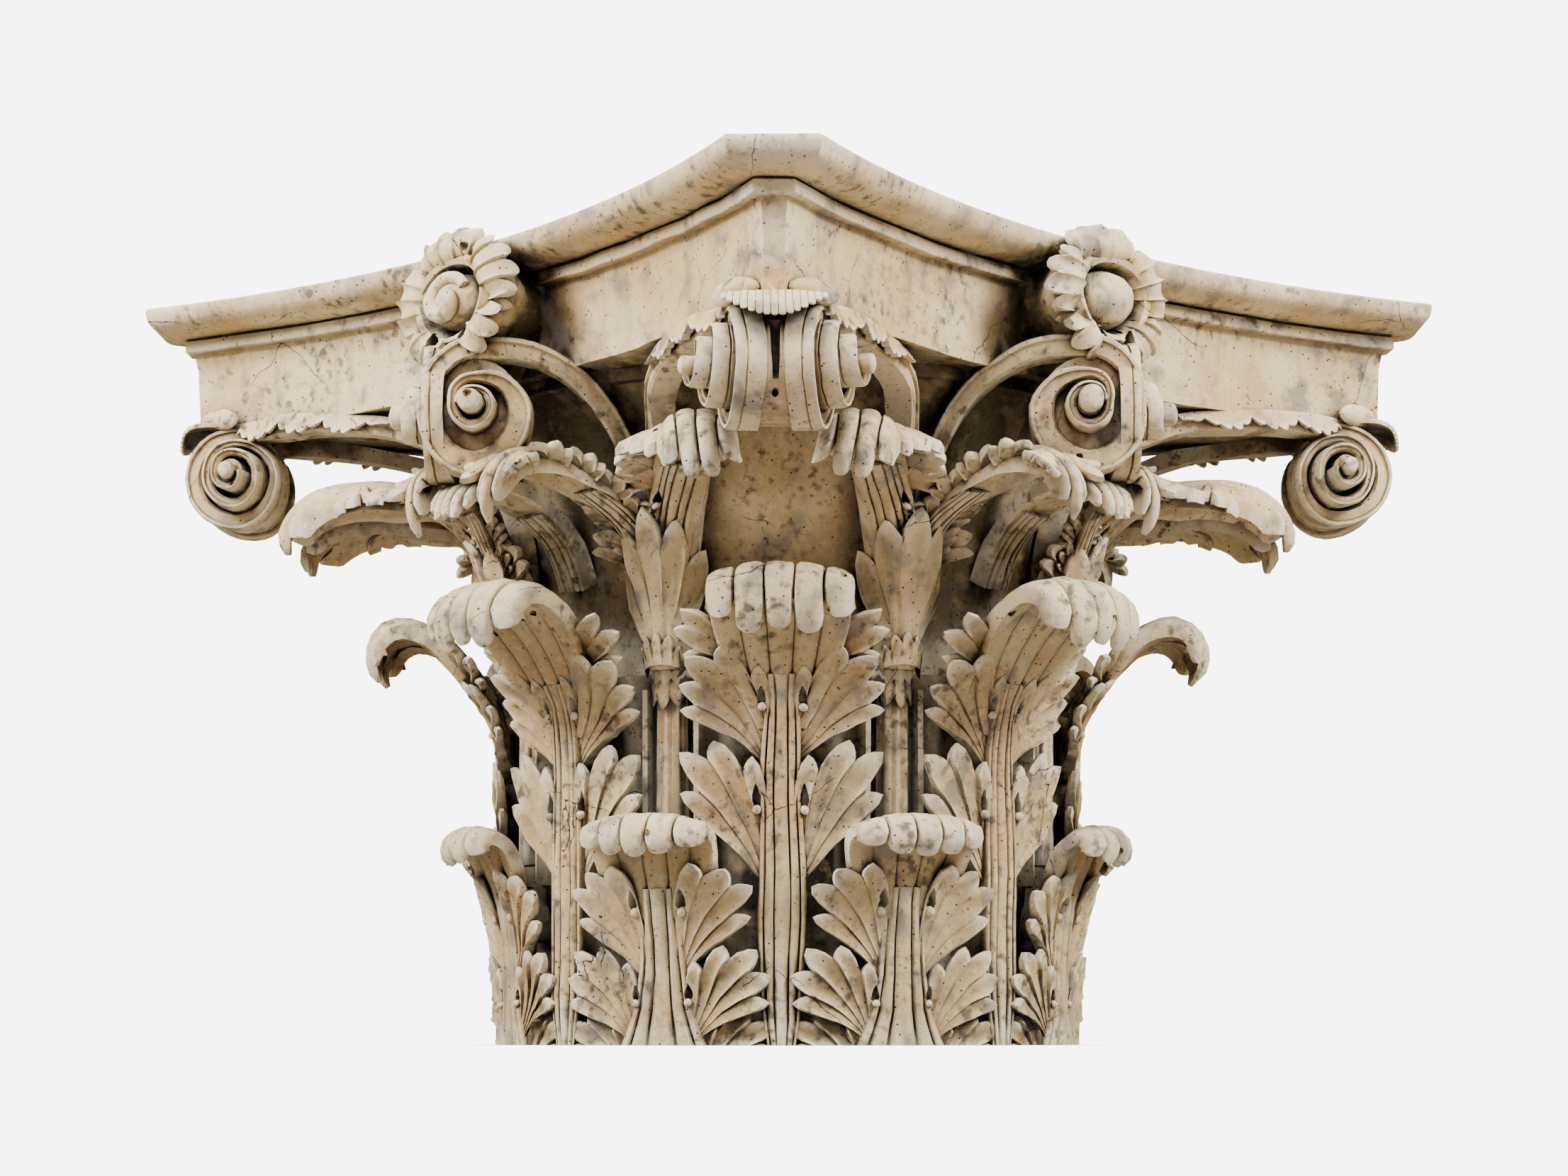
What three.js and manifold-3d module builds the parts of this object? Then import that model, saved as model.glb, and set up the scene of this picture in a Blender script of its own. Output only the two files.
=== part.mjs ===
// Corinthian capital with linked inner helices, in two stacked blocks.
// Millimetres, +Z up, origin at the centre of the underside.
// The faces look along +X, +Y, -X and -Y, and the corners lie between them.

import * as THREE from 'three';
import Module from 'manifold-3d';

const wasm = await Module();
wasm.setup();

// ---------------------------------------------------------------- driving dimensions

const CAPITAL_HEIGHT = 750;
const JOINT_HEIGHT = 354; // level joint between the two blocks
const JOINT_GAP = 0.3;
const LEAVES_PER_ROW = 8;
const FACES = 4;

const PLASTER_COLOUR = 0xcdb796;
const PLASTER_ROUGHNESS = 0.85;

// Bell: radius at height.
const BELL_SEGMENTS = 20;
const BELL_FOOT_RADIUS = 258;
const BELL_JOINT_RADIUS = 264;
const BELL_FLARE = [[277, 486], [301, 562], [336, 618]];
const BELL_LIP_RADIUS = 344;

// Abacus: four hollow sides drawn as arcs, and blunt corners.
const ABACUS_BOTTOM = 630;
const ABACUS_SIDE_RADIUS = 1188;
const ABACUS_SIDE_MIDDLE = 409; // from the axis to the middle of a side, at the top edge
const ABACUS_CORNER = 654; // from the axis to the blunt corner, at the top edge
const ABACUS_SIDE_STEPS = 6;
// How far each line of the mouldings stands back from the top edge, and its height.
const ABACUS_MOULDINGS = [
  [50, ABACUS_BOTTOM], [50, 676], [42, 703], // dado and cavetto
  [34, 704], [34, 718], // fillet
  [16, 721], [2, 735], [0, CAPITAL_HEIGHT], // ovolo and top edge
];

// Caulis stems, engaged in the bell above the lower leaves.
const STEM = { centre: 270, foot: 18, neck: 15, collar: 20, bottom: 178, collarBottom: 331, sides: 6 };

// Acanthus leaves. Each is a plate of lobes held off the bell by a web down its middle, with a curl
// on top. A curl's section is where its face and its back run: radius and height of each, and the
// half width there. A lobe is a fan of fingers: angle above the level and length.
const LOWER_LEAF = {
  web: { from: 250, to: 287, half: 14, bottom: 0, top: 158 },
  curl: [
    { face: [305, 150], back: [298, 164], half: 26 },
    { face: [332, 186], back: [318, 216], half: 66 },
    { face: [345, 173], back: [362, 178], half: 60 },
  ],
  fingers: 3,
  footHalf: 34,
  topHalf: 20,
  neckHeight: 100,
  plateTop: 162,
  lobes: [
    { root: [44, 10], fingers: [[52, 60], [66, 86], [92, 74]], lift: 5 },
    { root: [22, 73], fingers: [[36, 66], [50, 90], [64, 96]], lift: 8 },
  ],
  face: [[293, 0], [293, 81], [301, 146], [316, 178]],
};
const UPPER_LEAF = {
  web: { from: 250, to: 287, half: 12, bottom: 0, top: 320 },
  curl: [
    { face: [317, 345], back: [303, 350], half: 22 },
    { face: [368, 396], back: [340, 432], half: 88 },
    { face: [399, 356], back: [428, 372], half: 68 },
  ],
  fingers: 5,
  footHalf: 27,
  topHalf: 13,
  neckHeight: 306,
  plateTop: 350,
  lobes: [
    { root: [18, 168], fingers: [[47, 104], [60, 138], [76, 134]], lift: 8 },
    { root: [13, 287], fingers: [[27, 88], [42, 98], [58, 80]], lift: 8 },
  ],
  face: [[292, 0], [292, 280], [300, 326], [334, 373]],
};
const LOBE_THICKNESS = 13;
const LOBE_NOTCH = 0.66; // how far out a notch between two fingers starts
const FINGER_SLIT = 0.5; // how much of the last stretch of a curl its slits take
const FINGER_SWELL = 3.5;

// Calyces, standing on the joint above each stem.
const CALYX = { foot: 22, mouth: 37, footCentre: 280, mouthCentre: 296, depth: 24, mouthHeight: 462 };

// Leaves from the calyces, drawn around the axis: radius, height, and the angle left to the
// middle of the corner (outer leaves) or of the side (inner leaves).
const CORNER_LEAF = [
  { face: [318, 456, 21], back: [285, 456, 21], half: 28 },
  { face: [366, 526, 14], back: [346, 548, 14], half: 40 },
  { face: [470, 534, 8.5], back: [484, 557, 8.5], half: 42 },
  { face: [495, 490, 7], back: [520, 500, 7], half: 36 },
];
const SIDE_LEAF = [
  { face: [312, 456, 20], back: [285, 456, 21], half: 24 },
  { face: [384, 508, 11], back: [376, 530, 11], half: 30 },
  { face: [427, 466, 7], back: [438, 470, 7], half: 20 },
];
const BUD_LEAF = [
  { face: [290, 452, 0], back: [262, 462, 0], half: 22 },
  { face: [412, 486, 0], back: [412, 530, 0], half: 36 },
  { face: [436, 462, 0], back: [448, 468, 0], half: 30 },
];

// Scrolls. Each whorl is a spiral outline about the eye, and steps outwards from the one before.
// A step is its scale and how far it stands out of the scroll's plane.
const SCROLL_SIDES = 10;
const SCROLL_EDGE = 0.94; // how much each whorl tapers over its step
const CORNER_SCROLL = {
  eye: [578, 24, 578], // along the corner line, to one side of it, height
  turn: 11, // degrees between the scroll's plane and the corner line
  radii: [43, 54, 50, 63], // front, top, back, underside
  steps: [[1, 24], [0.56, 42], [0.24, 56]],
};
const HELIX = {
  eye: [446, 44, 591],
  turn: 45,
  radii: [49, 64, 49, 66],
  steps: [[1, -36], [1, 0], [0.56, 18], [0.24, 32]],
};
const CORNER_STEM = [
  { at: [306, 114, 500], width: 20, depth: 26 },
  { at: [330, 110, 585], width: 24, depth: 26 },
  { at: [430, 84, 611], width: 28, depth: 26 },
  { at: [560, 36, 612], width: 30, depth: 32 },
];
const CORNER_CAP = { from: 540, to: 633, half: 52, bottom: 618, top: 629.5 };
const HELIX_STEM = [
  { at: [290, 114, 500], width: 20, depth: 24 },
  { at: [318, 106, 590], width: 24, depth: 24 },
  { at: [390, 70, 636], width: 38, depth: 26 },
  { at: [430, 38, 641], width: 38, depth: 26 },
];

// Fleuron in the middle of each side of the abacus: radius about its own axis, and distance out.
const FLEURON_HEIGHT = 696;
const FLEURON_SEGMENTS = 8;
const FLEURON_PROFILE = [[44, 350], [54, 456], [34, 468], [22, 474]];

// ---------------------------------------------------------------- shells and solids

const radians = (degrees) => THREE.MathUtils.degToRad(degrees);

/** Six times the signed volume of a closed shell, positive when its faces point out. */
function signedVolume({ points, faces }) {
  return faces.reduce((sum, [a, b, c]) => (
    sum + points[a].dot(new THREE.Vector3().crossVectors(points[b], points[c]))
  ), 0);
}

/** A closed shell whose faces point out. */
function outward(shell) {
  if (signedVolume(shell) >= 0) {
    return shell;
  }
  return { points: shell.points, faces: shell.faces.map(([a, b, c]) => [a, c, b]) };
}

/** A shell turned about the capital's axis, after mirroring it across the XZ plane if asked. */
function placed(shell, degrees, mirrored = false) {
  const matrix = new THREE.Matrix4().makeRotationZ(radians(degrees));
  if (mirrored) {
    matrix.multiply(new THREE.Matrix4().makeScale(1, -1, 1));
  }
  const points = shell.points.map((point) => point.clone().applyMatrix4(matrix));
  return outward({ points, faces: shell.faces });
}

/** Joins closed shells into one solid. */
function united(shells) {
  const solids = shells.map(({ points, faces }) => new wasm.Manifold(new wasm.Mesh({
    numProp: 3,
    vertProperties: new Float32Array(points.flatMap((point) => point.toArray())),
    triVerts: new Uint32Array(faces.flat()),
  })));
  return solids.reduce((whole, solid) => whole.add(solid));
}

/** The mesh of a solid, with its material. */
function meshOf(solid, name) {
  const { vertProperties, triVerts } = solid.getMesh();
  const geometry = new THREE.BufferGeometry();
  geometry.setAttribute('position', new THREE.BufferAttribute(vertProperties, 3));
  geometry.setIndex(new THREE.BufferAttribute(triVerts, 1));
  geometry.computeVertexNormals();
  const material = new THREE.MeshStandardMaterial({
    color: PLASTER_COLOUR, roughness: PLASTER_ROUGHNESS, metalness: 0,
  });
  const mesh = new THREE.Mesh(geometry, material);
  mesh.name = name;
  return mesh;
}

/** A closed skin between two grids of points with the same rows and columns. */
function slab(front, back) {
  const rows = front.length;
  const columns = front[0].length;
  const points = [...front.flat(), ...back.flat()];
  const behind = rows * columns;
  const faces = [];
  const quad = (a, b, c, d) => faces.push([a, b, c], [a, c, d]);
  for (let row = 0; row + 1 < rows; row += 1) {
    for (let column = 0; column + 1 < columns; column += 1) {
      const a = row * columns + column;
      quad(a, a + 1, a + columns + 1, a + columns);
      quad(behind + a, behind + a + columns, behind + a + columns + 1, behind + a + 1);
    }
  }
  const rim = [];
  for (let column = 0; column + 1 < columns; column += 1) {
    rim.push(column);
  }
  for (let row = 0; row + 1 < rows; row += 1) {
    rim.push(row * columns + columns - 1);
  }
  for (let column = columns - 1; column > 0; column -= 1) {
    rim.push((rows - 1) * columns + column);
  }
  for (let row = rows - 1; row > 0; row -= 1) {
    rim.push(row * columns);
  }
  rim.forEach((a, index) => {
    const b = rim[(index + 1) % rim.length];
    quad(b, a, behind + a, behind + b);
  });
  return outward({ points, faces });
}

/** A closed skin over rings of points, with a flat fan at each end. */
function loft(rings) {
  const count = rings[0].length;
  const points = rings.flat();
  const faces = [];
  for (let ring = 0; ring + 1 < rings.length; ring += 1) {
    for (let index = 0; index < count; index += 1) {
      const next = (index + 1) % count;
      const a = ring * count + index;
      const b = ring * count + next;
      faces.push([a, b, b + count], [a, b + count, a + count]);
    }
  }
  const cap = (start, flip) => {
    const centre = points.length;
    const middle = new THREE.Vector3();
    for (let index = 0; index < count; index += 1) {
      middle.addScaledVector(points[start + index], 1 / count);
    }
    points.push(middle);
    for (let index = 0; index < count; index += 1) {
      const a = start + index;
      const b = start + ((index + 1) % count);
      faces.push(flip ? [centre, b, a] : [centre, a, b]);
    }
  };
  cap(0, true);
  cap((rings.length - 1) * count, false);
  return outward({ points, faces });
}

/** A point at a radius and height, and so many degrees round from the XZ plane. */
function around(radius, height, degrees) {
  const angle = radians(degrees);
  return new THREE.Vector3(radius * Math.cos(angle), radius * Math.sin(angle), height);
}

/** The radius at a height on a line of [radius, height] points, which rises. */
function radiusAt(line, height) {
  const above = line.findIndex(([, z]) => z >= height);
  if (above <= 0) {
    return line[above === 0 ? 0 : line.length - 1][0];
  }
  const [lowRadius, low] = line[above - 1];
  const [highRadius, high] = line[above];
  return THREE.MathUtils.mapLinear(height, low, high, lowRadius, highRadius);
}

// ---------------------------------------------------------------- bell and abacus

/** A round stretch of the bell from a profile of [radius, height] points. */
function bell(profile) {
  return loft(profile.map(([radius, height]) => (
    Array.from({ length: BELL_SEGMENTS }, (_, index) => around(radius, height, (index * 360) / BELL_SEGMENTS))
  )));
}

/** One outline of the abacus, set back from the top edge. */
function abacusOutline(setback, height) {
  const centre = ABACUS_SIDE_MIDDLE + ABACUS_SIDE_RADIUS;
  const radius = ABACUS_SIDE_RADIUS + setback;
  const corner = Math.SQRT2 * (ABACUS_CORNER - setback);
  const end = radians(45) + Math.asin((corner - centre) / (Math.SQRT2 * radius));
  const outline = [];
  for (let side = 0; side < FACES; side += 1) {
    for (let step = 0; step <= ABACUS_SIDE_STEPS; step += 1) {
      const angle = end * ((2 * step) / ABACUS_SIDE_STEPS - 1);
      const point = new THREE.Vector3(centre - radius * Math.cos(angle), radius * Math.sin(angle), height);
      outline.push(point.applyAxisAngle(new THREE.Vector3(0, 0, 1), radians(side * 90)));
    }
  }
  return outline;
}

function abacus() {
  return loft(ABACUS_MOULDINGS.map(([setback, height]) => abacusOutline(setback, height)));
}

// ---------------------------------------------------------------- leaves

/** Columns across a leaf's curl: place across, swell and reach of each finger and each slit. */
function fingerColumns(fingers) {
  const slits = fingers - 1;
  return Array.from({ length: fingers + slits }, (_, index) => {
    const crest = index % 2 === 0 ? 1 : 0;
    return { across: index / slits - 1, swell: crest, reach: crest };
  });
}

/** A leaf body from its sections; the slits between fingers open along the last stretch. */
function leafBody(sections, columns) {
  const last = sections.length - 1;
  const grid = (sideOfLeaf, swelling) => sections.map((section, row) => columns.map((column) => {
    const short = row === last ? (1 - column.reach) * FINGER_SLIT : 0;
    const before = sections[Math.max(row - 1, 0)];
    const [radius, height, turn = 0] = section[sideOfLeaf].map((value, index) => (
      THREE.MathUtils.lerp(value, before[sideOfLeaf][index], short)
    ));
    const swell = row > 0 ? swelling * column.swell : 0;
    const across = column.across * section.half;
    return around(radius + swell, height, turn + THREE.MathUtils.radToDeg(across / radius));
  }));
  return slab(grid('face', 0), grid('back', FINGER_SWELL));
}

/** One side of a leaf's outline, from the bottom up: across, height and rise off the face. */
function lobeOutline({ root, fingers, lift }) {
  const [rootAcross, rootHeight] = root;
  const place = (angle, length, rise) => ({
    across: rootAcross + length * Math.cos(radians(angle)),
    height: rootHeight + length * Math.sin(radians(angle)),
    rise: rise * lift,
  });
  return [
    { across: rootAcross, height: rootHeight, rise: 0 },
    ...fingers.flatMap(([angle, length], index) => {
      const tip = place(angle, length, 1);
      const next = fingers[index + 1];
      if (!next) {
        return [tip];
      }
      return [tip, place((angle + next[0]) / 2, LOBE_NOTCH * Math.min(length, next[1]), 0.5)];
    }),
  ];
}

/** The plate that carries both sides' lobes, bent round the bell. */
function lobePlate({ footHalf, topHalf, neckHeight, plateTop, lobes, face: faceLine }) {
  const side = [
    { across: footHalf, height: 0, rise: 0 },
    ...lobes.flatMap(lobeOutline),
    { across: topHalf, height: neckHeight, rise: 0 },
    { across: topHalf, height: plateTop, rise: 0 },
  ];
  const otherSide = side.map((point) => ({ ...point, across: -point.across })).reverse();
  const outline = [...side, ...otherSide];
  const flat = outline.map(({ across, height }) => new THREE.Vector2(across, height));
  const triangles = THREE.ShapeUtils.triangulateShape(flat, []);
  const place = ({ across, height, rise }, depth) => {
    const radius = radiusAt(faceLine, height);
    return around(radius + rise + depth, height, THREE.MathUtils.radToDeg(across / radius));
  };
  const points = [
    ...outline.map((point) => place(point, 0)),
    ...outline.map((point) => place(point, -LOBE_THICKNESS)),
  ];
  const count = outline.length;
  const faces = triangles.flatMap(([x, y, z]) => [[x, y, z], [x + count, z + count, y + count]]);
  for (let index = 0; index < count; index += 1) {
    const next = (index + 1) % count;
    faces.push([index, count + index, count + next], [index, count + next, next]);
  }
  return outward({ points, faces });
}

/** All the shells of one acanthus leaf, at angle zero. */
function acanthus(leaf) {
  return [block(leaf.web), lobePlate(leaf), leafBody(leaf.curl, fingerColumns(leaf.fingers))];
}

/** Copies of shells around the capital. */
function row(shells, count, firstDegrees, mirrored = false) {
  return Array.from({ length: count }, (_, index) => (
    shells.map((shell) => placed(shell, firstDegrees + (index * 360) / count, mirrored))
  )).flat();
}

/** Copies of shells to both sides of every corner or side, which start at the angle given. */
function pairs(shells, firstDegrees) {
  return [...row(shells, FACES, firstDegrees), ...row(shells, FACES, firstDegrees, true)];
}

// ---------------------------------------------------------------- stems and calyces

/** A ring of points about a centre on the XZ plane: across and outwards half sizes. */
function oval(centre, height, across, outwards, sides) {
  return Array.from({ length: sides }, (_, index) => {
    const angle = (index * 2 * Math.PI) / sides;
    return new THREE.Vector3(centre + outwards * Math.cos(angle), across * Math.sin(angle), height);
  });
}

function stem() {
  const { centre, foot, neck, collar, bottom, collarBottom, sides } = STEM;
  const top = JOINT_HEIGHT - JOINT_GAP / 2;
  const ring = (height, radius) => oval(centre, height, radius, radius, sides);
  return loft([ring(bottom, foot), ring(collarBottom, neck), ring(collarBottom + 3, collar), ring(top, collar)]);
}

function calyx() {
  const { foot, mouth, footCentre, mouthCentre, depth, mouthHeight } = CALYX;
  const bottom = JOINT_HEIGHT + JOINT_GAP / 2;
  return loft([
    oval(footCentre, bottom, foot, depth - 5, 6),
    oval(mouthCentre, mouthHeight, mouth, depth, 6),
  ]);
}

// ---------------------------------------------------------------- scrolls

/** A spiral outline with its four reaches: front, top, back and underside. */
function spiralReach(radii, angle) {
  const quarter = angle / (Math.PI / 2);
  const low = Math.floor(quarter) % radii.length;
  const share = (1 - Math.cos((quarter - Math.floor(quarter)) * Math.PI)) / 2;
  return THREE.MathUtils.lerp(radii[low], radii[(low + 1) % radii.length], share);
}

/** The rings of a stepped scroll, from its plane out to its eye. */
function scrollRings({ eye, turn, radii, steps }, mirrored = false) {
  const along = new THREE.Vector3(1, 0, 0).applyAxisAngle(new THREE.Vector3(0, 0, 1), -radians(turn));
  const up = new THREE.Vector3(0, 0, 1);
  const out = new THREE.Vector3().crossVectors(up, along);
  const outline = (scale, stand) => Array.from({ length: SCROLL_SIDES }, (_, index) => {
    const angle = (index * 2 * Math.PI) / SCROLL_SIDES;
    const reach = scale * spiralReach(radii, angle);
    const point = new THREE.Vector3(...eye)
      .addScaledVector(along, reach * Math.cos(angle))
      .addScaledVector(up, reach * Math.sin(angle))
      .addScaledVector(out, stand);
    return mirrored ? point.setY(-point.y) : point;
  });
  return steps.flatMap(([scale, stand], index) => {
    const [nextScale = scale] = steps[index + 1] ?? [];
    const edge = outline(scale, stand);
    return nextScale < scale ? [edge, outline(nextScale / SCROLL_EDGE, stand + 1)] : [edge];
  });
}

/** One scroll on its own. */
function scroll(plan) {
  return loft(scrollRings(plan));
}

/** Two scrolls back to back, one to each side of the XZ plane. */
function scrollPair(plan) {
  return loft([...scrollRings(plan, true).reverse(), ...scrollRings(plan)]);
}

/** A band bent along a line of stations, its width level and its depth square to the line. */
function band(stations) {
  const places = stations.map(({ at }) => new THREE.Vector3(...at));
  const rings = stations.map(({ width, depth }, index) => {
    const before = places[Math.max(index - 1, 0)];
    const after = places[Math.min(index + 1, places.length - 1)];
    const forward = after.clone().sub(before).normalize();
    const level = new THREE.Vector3(0, 0, 1).cross(forward).normalize();
    const over = new THREE.Vector3().crossVectors(forward, level);
    const corner = (x, y) => places[index].clone()
      .addScaledVector(level, (x * width) / 2)
      .addScaledVector(over, (y * depth) / 2);
    return [corner(-1, -1), corner(1, -1), corner(1, 1), corner(-1, 1)];
  });
  return loft(rings);
}

/** A block with its sides square to the axes. */
function block({ from, to, half, bottom, top }) {
  const ring = (height) => [[from, -half], [to, -half], [to, half], [from, half]]
    .map(([x, y]) => new THREE.Vector3(x, y, height));
  return loft([ring(bottom), ring(top)]);
}

// ---------------------------------------------------------------- fleurons

function fleuron() {
  const rings = FLEURON_PROFILE.map(([radius, out]) => (
    Array.from({ length: FLEURON_SEGMENTS }, (_, index) => {
      const angle = ((index + 0.5) * 2 * Math.PI) / FLEURON_SEGMENTS;
      return new THREE.Vector3(out, radius * Math.cos(angle), FLEURON_HEIGHT + radius * Math.sin(angle));
    })
  ));
  return loft(rings);
}

// ---------------------------------------------------------------- the two blocks

const HALF_STEP = 180 / LEAVES_PER_ROW; // stems and calyces stand midway between the upper leaves
const CORNER = 45;

function lowerBlock() {
  const top = JOINT_HEIGHT - JOINT_GAP / 2;
  return united([
    bell([[BELL_FOOT_RADIUS, 0], [BELL_FOOT_RADIUS, top / 2], [BELL_JOINT_RADIUS, top]]),
    ...row(acanthus(UPPER_LEAF), LEAVES_PER_ROW, 0),
    ...row(acanthus(LOWER_LEAF), LEAVES_PER_ROW, HALF_STEP),
    ...row([stem()], LEAVES_PER_ROW, HALF_STEP),
  ]);
}

function upperBlock() {
  const bottom = JOINT_HEIGHT + JOINT_GAP / 2;
  const profile = [
    [BELL_JOINT_RADIUS, bottom], ...BELL_FLARE,
    [BELL_LIP_RADIUS, BELL_FLARE[BELL_FLARE.length - 1][1]], [BELL_LIP_RADIUS, ABACUS_BOTTOM + 1],
  ];
  return united([
    bell(profile),
    abacus(),
    ...row([calyx()], LEAVES_PER_ROW, HALF_STEP),
    ...pairs([leafBody(CORNER_LEAF, fingerColumns(3)), band(CORNER_STEM)], CORNER),
    ...row([scrollPair(CORNER_SCROLL), block(CORNER_CAP)], FACES, CORNER),
    ...pairs([leafBody(SIDE_LEAF, fingerColumns(2)), band(HELIX_STEM), scroll(HELIX)], 0),
    ...row([leafBody(BUD_LEAF, fingerColumns(2)), fleuron()], FACES, 0),
  ]);
}

const capital = new THREE.Group();
capital.add(meshOf(lowerBlock(), 'lower_block'), meshOf(upperBlock(), 'upper_block'));

export default capital;
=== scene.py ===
"""Corinthian capital in aged cast plaster: two stacked blocks of acanthus, scrolls and abacus.

Every size is in drawing millimetres about the axis of the capital, and is turned to metres by the
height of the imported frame. Leaves are drawn flat, in millimetres across and along the leaf, and
then bent over their own spine.
"""

from __future__ import annotations

import logging
import math
from dataclasses import dataclass
from enum import Enum
from typing import Callable, Iterable, Sequence

import bpy
import numpy as np
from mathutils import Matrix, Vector


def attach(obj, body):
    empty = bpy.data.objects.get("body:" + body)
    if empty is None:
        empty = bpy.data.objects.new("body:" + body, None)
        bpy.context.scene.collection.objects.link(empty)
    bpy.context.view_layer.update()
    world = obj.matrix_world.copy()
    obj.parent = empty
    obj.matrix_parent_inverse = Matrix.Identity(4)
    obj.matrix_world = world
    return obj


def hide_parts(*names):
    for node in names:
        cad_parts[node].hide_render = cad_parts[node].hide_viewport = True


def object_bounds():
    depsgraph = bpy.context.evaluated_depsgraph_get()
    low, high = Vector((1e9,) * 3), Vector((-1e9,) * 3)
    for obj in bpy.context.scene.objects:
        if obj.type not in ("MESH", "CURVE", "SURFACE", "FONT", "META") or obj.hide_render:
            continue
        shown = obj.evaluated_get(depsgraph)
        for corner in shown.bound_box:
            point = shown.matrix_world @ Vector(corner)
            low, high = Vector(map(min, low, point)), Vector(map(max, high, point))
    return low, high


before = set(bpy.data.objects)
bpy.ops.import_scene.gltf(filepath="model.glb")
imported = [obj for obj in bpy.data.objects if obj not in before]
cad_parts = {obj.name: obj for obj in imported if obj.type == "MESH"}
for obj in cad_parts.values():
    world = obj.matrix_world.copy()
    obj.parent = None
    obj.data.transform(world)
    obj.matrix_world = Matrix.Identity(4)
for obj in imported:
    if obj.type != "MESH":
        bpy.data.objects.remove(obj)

CAD_BOX = [list(corner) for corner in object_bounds()]

LOG = logging.getLogger("capital")

DRAWN_HEIGHT = 750.0
MM = (CAD_BOX[1][2] - CAD_BOX[0][2]) / DRAWN_HEIGHT  # metres in one drawing millimetre
JOINT_HEIGHT = 354.0
JOINT_GAP = 0.3
LEAVES_PER_ROW = 8
FACES = 4
CORNER = 45.0  # degrees from the middle of a side to a corner
HALF_STEP = 22.5  # degrees from a leaf of the upper row to one of the lower row
MOST_TRIANGLES = 190000
WELD = 1e-4 * MM  # points nearer than this are one point
SMOOTH_ANGLE = math.radians(38)  # faces that meet at less than this look smooth

Points = np.ndarray
Piece = bpy.types.Object
Pair = tuple[float, float]
Triple = tuple[float, float, float]
Socket = bpy.types.NodeSocket


# ------------------------------------------------------------------ numbers and curves


def ease(value: Points, low: float, high: float) -> Points:
    """Returns 0 below low and 1 above high, with a smooth step between them."""
    share = np.clip((np.asarray(value, float) - low) / (high - low), 0.0, 1.0)
    return share * share * (3.0 - 2.0 * share)


def read_line(line: Sequence[Pair], value: Points) -> Points:
    """Returns the height of a line of (place, height) pairs at a place."""
    places, heights = zip(*line)
    return np.interp(value, places, heights)


def catmull_rom(stations: Points, steps: int) -> Points:
    """Threads a smooth curve through stations.

    Args:
        stations: Points to pass through, one to a row.
        steps: Points made for each span.

    Returns:
        The curve's points, one to a row.
    """
    ends = np.vstack([2 * stations[0] - stations[1], stations, 2 * stations[-1] - stations[-2]])
    share = np.linspace(0.0, 1.0, steps, endpoint=False)[:, None]
    spans = []
    for before, start, stop, after in zip(ends, ends[1:], ends[2:], ends[3:]):
        spans.append(0.5 * (2 * start + (stop - before) * share
                            + (2 * before - 5 * start + 4 * stop - after) * share ** 2
                            + (3 * start - before - 3 * stop + after) * share ** 3))
    return np.vstack(spans + [stations[-1:]])


def around(radius: Points, height: Points, degrees: Points) -> Points:
    """Places points about the capital's axis.

    Args:
        radius: Distance from the axis.
        height: Height over the underside.
        degrees: Angle from the X axis.

    Returns:
        The points.
    """
    angle = np.radians(degrees)
    parts = np.broadcast_arrays(radius * np.cos(angle), radius * np.sin(angle), height)
    return np.stack(parts, axis=-1)


def turned(points: Points, degrees: float) -> Points:
    """Turns points about the capital's axis.

    Args:
        points: The points as they stand.
        degrees: How far to turn them, against the clock from above.

    Returns:
        The turned points.
    """
    cosine, sine = math.cos(math.radians(degrees)), math.sin(math.radians(degrees))
    turn = np.array([[cosine, sine, 0.0], [-sine, cosine, 0.0], [0.0, 0.0, 1.0]])
    return points @ turn


def wander(points: Points, size: float, seed: int) -> Points:
    """Returns a slow, seeded push for each point, as hand-made work has.

    Args:
        points: Places in millimetres.
        size: Length of one wave.
        seed: Picks one pattern.

    Returns:
        A push from about -1 to 1 on each axis, one to a point.
    """
    octaves = (1.0, 0.57, 0.31)
    height = 0.6
    draw = np.random.default_rng(seed)
    push = np.zeros_like(points)
    for octave in octaves:
        waves = draw.normal(0.0, 1.0, (3, 3)) * 2 * math.pi / (size * octave)
        phases = draw.uniform(0.0, 2 * math.pi, 3)
        push += np.sin(points @ waves + phases) * octave * height
    return push


# ------------------------------------------------------------------ meshes


def deselect() -> None:
    """Leaves nothing selected."""
    bpy.ops.object.select_all(action="DESELECT")


def activate(piece: Piece) -> None:
    """Selects one piece alone and makes it active."""
    deselect()
    piece.select_set(True)
    bpy.context.view_layer.objects.active = piece


def edit_all(*steps: Callable[[], object]) -> None:
    """Runs mesh operators on the whole of the active piece.

    Args:
        steps: The operators, in order.
    """
    bpy.ops.object.mode_set(mode="EDIT")
    bpy.ops.mesh.select_all(action="SELECT")
    for step in steps:
        step()
    bpy.ops.object.mode_set(mode="OBJECT")


def read_points(piece: Piece) -> Points:
    """Returns a piece's points, in millimetres."""
    flat = np.empty(len(piece.data.vertices) * 3)
    piece.data.vertices.foreach_get("co", flat)
    return flat.reshape(-1, 3) / MM


def write_points(piece: Piece, points: Points) -> None:
    """Moves a piece's points to places given in millimetres."""
    piece.data.vertices.foreach_set("co", (points * MM).ravel())
    piece.data.update()


def lattice(rows: int, columns: int) -> Piece:
    """Adds a flat grid, one unit across, that is bent into shape afterwards."""
    deselect()
    bpy.ops.mesh.primitive_grid_add(x_subdivisions=columns - 1, y_subdivisions=rows - 1, size=1.0)
    return bpy.context.active_object


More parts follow.
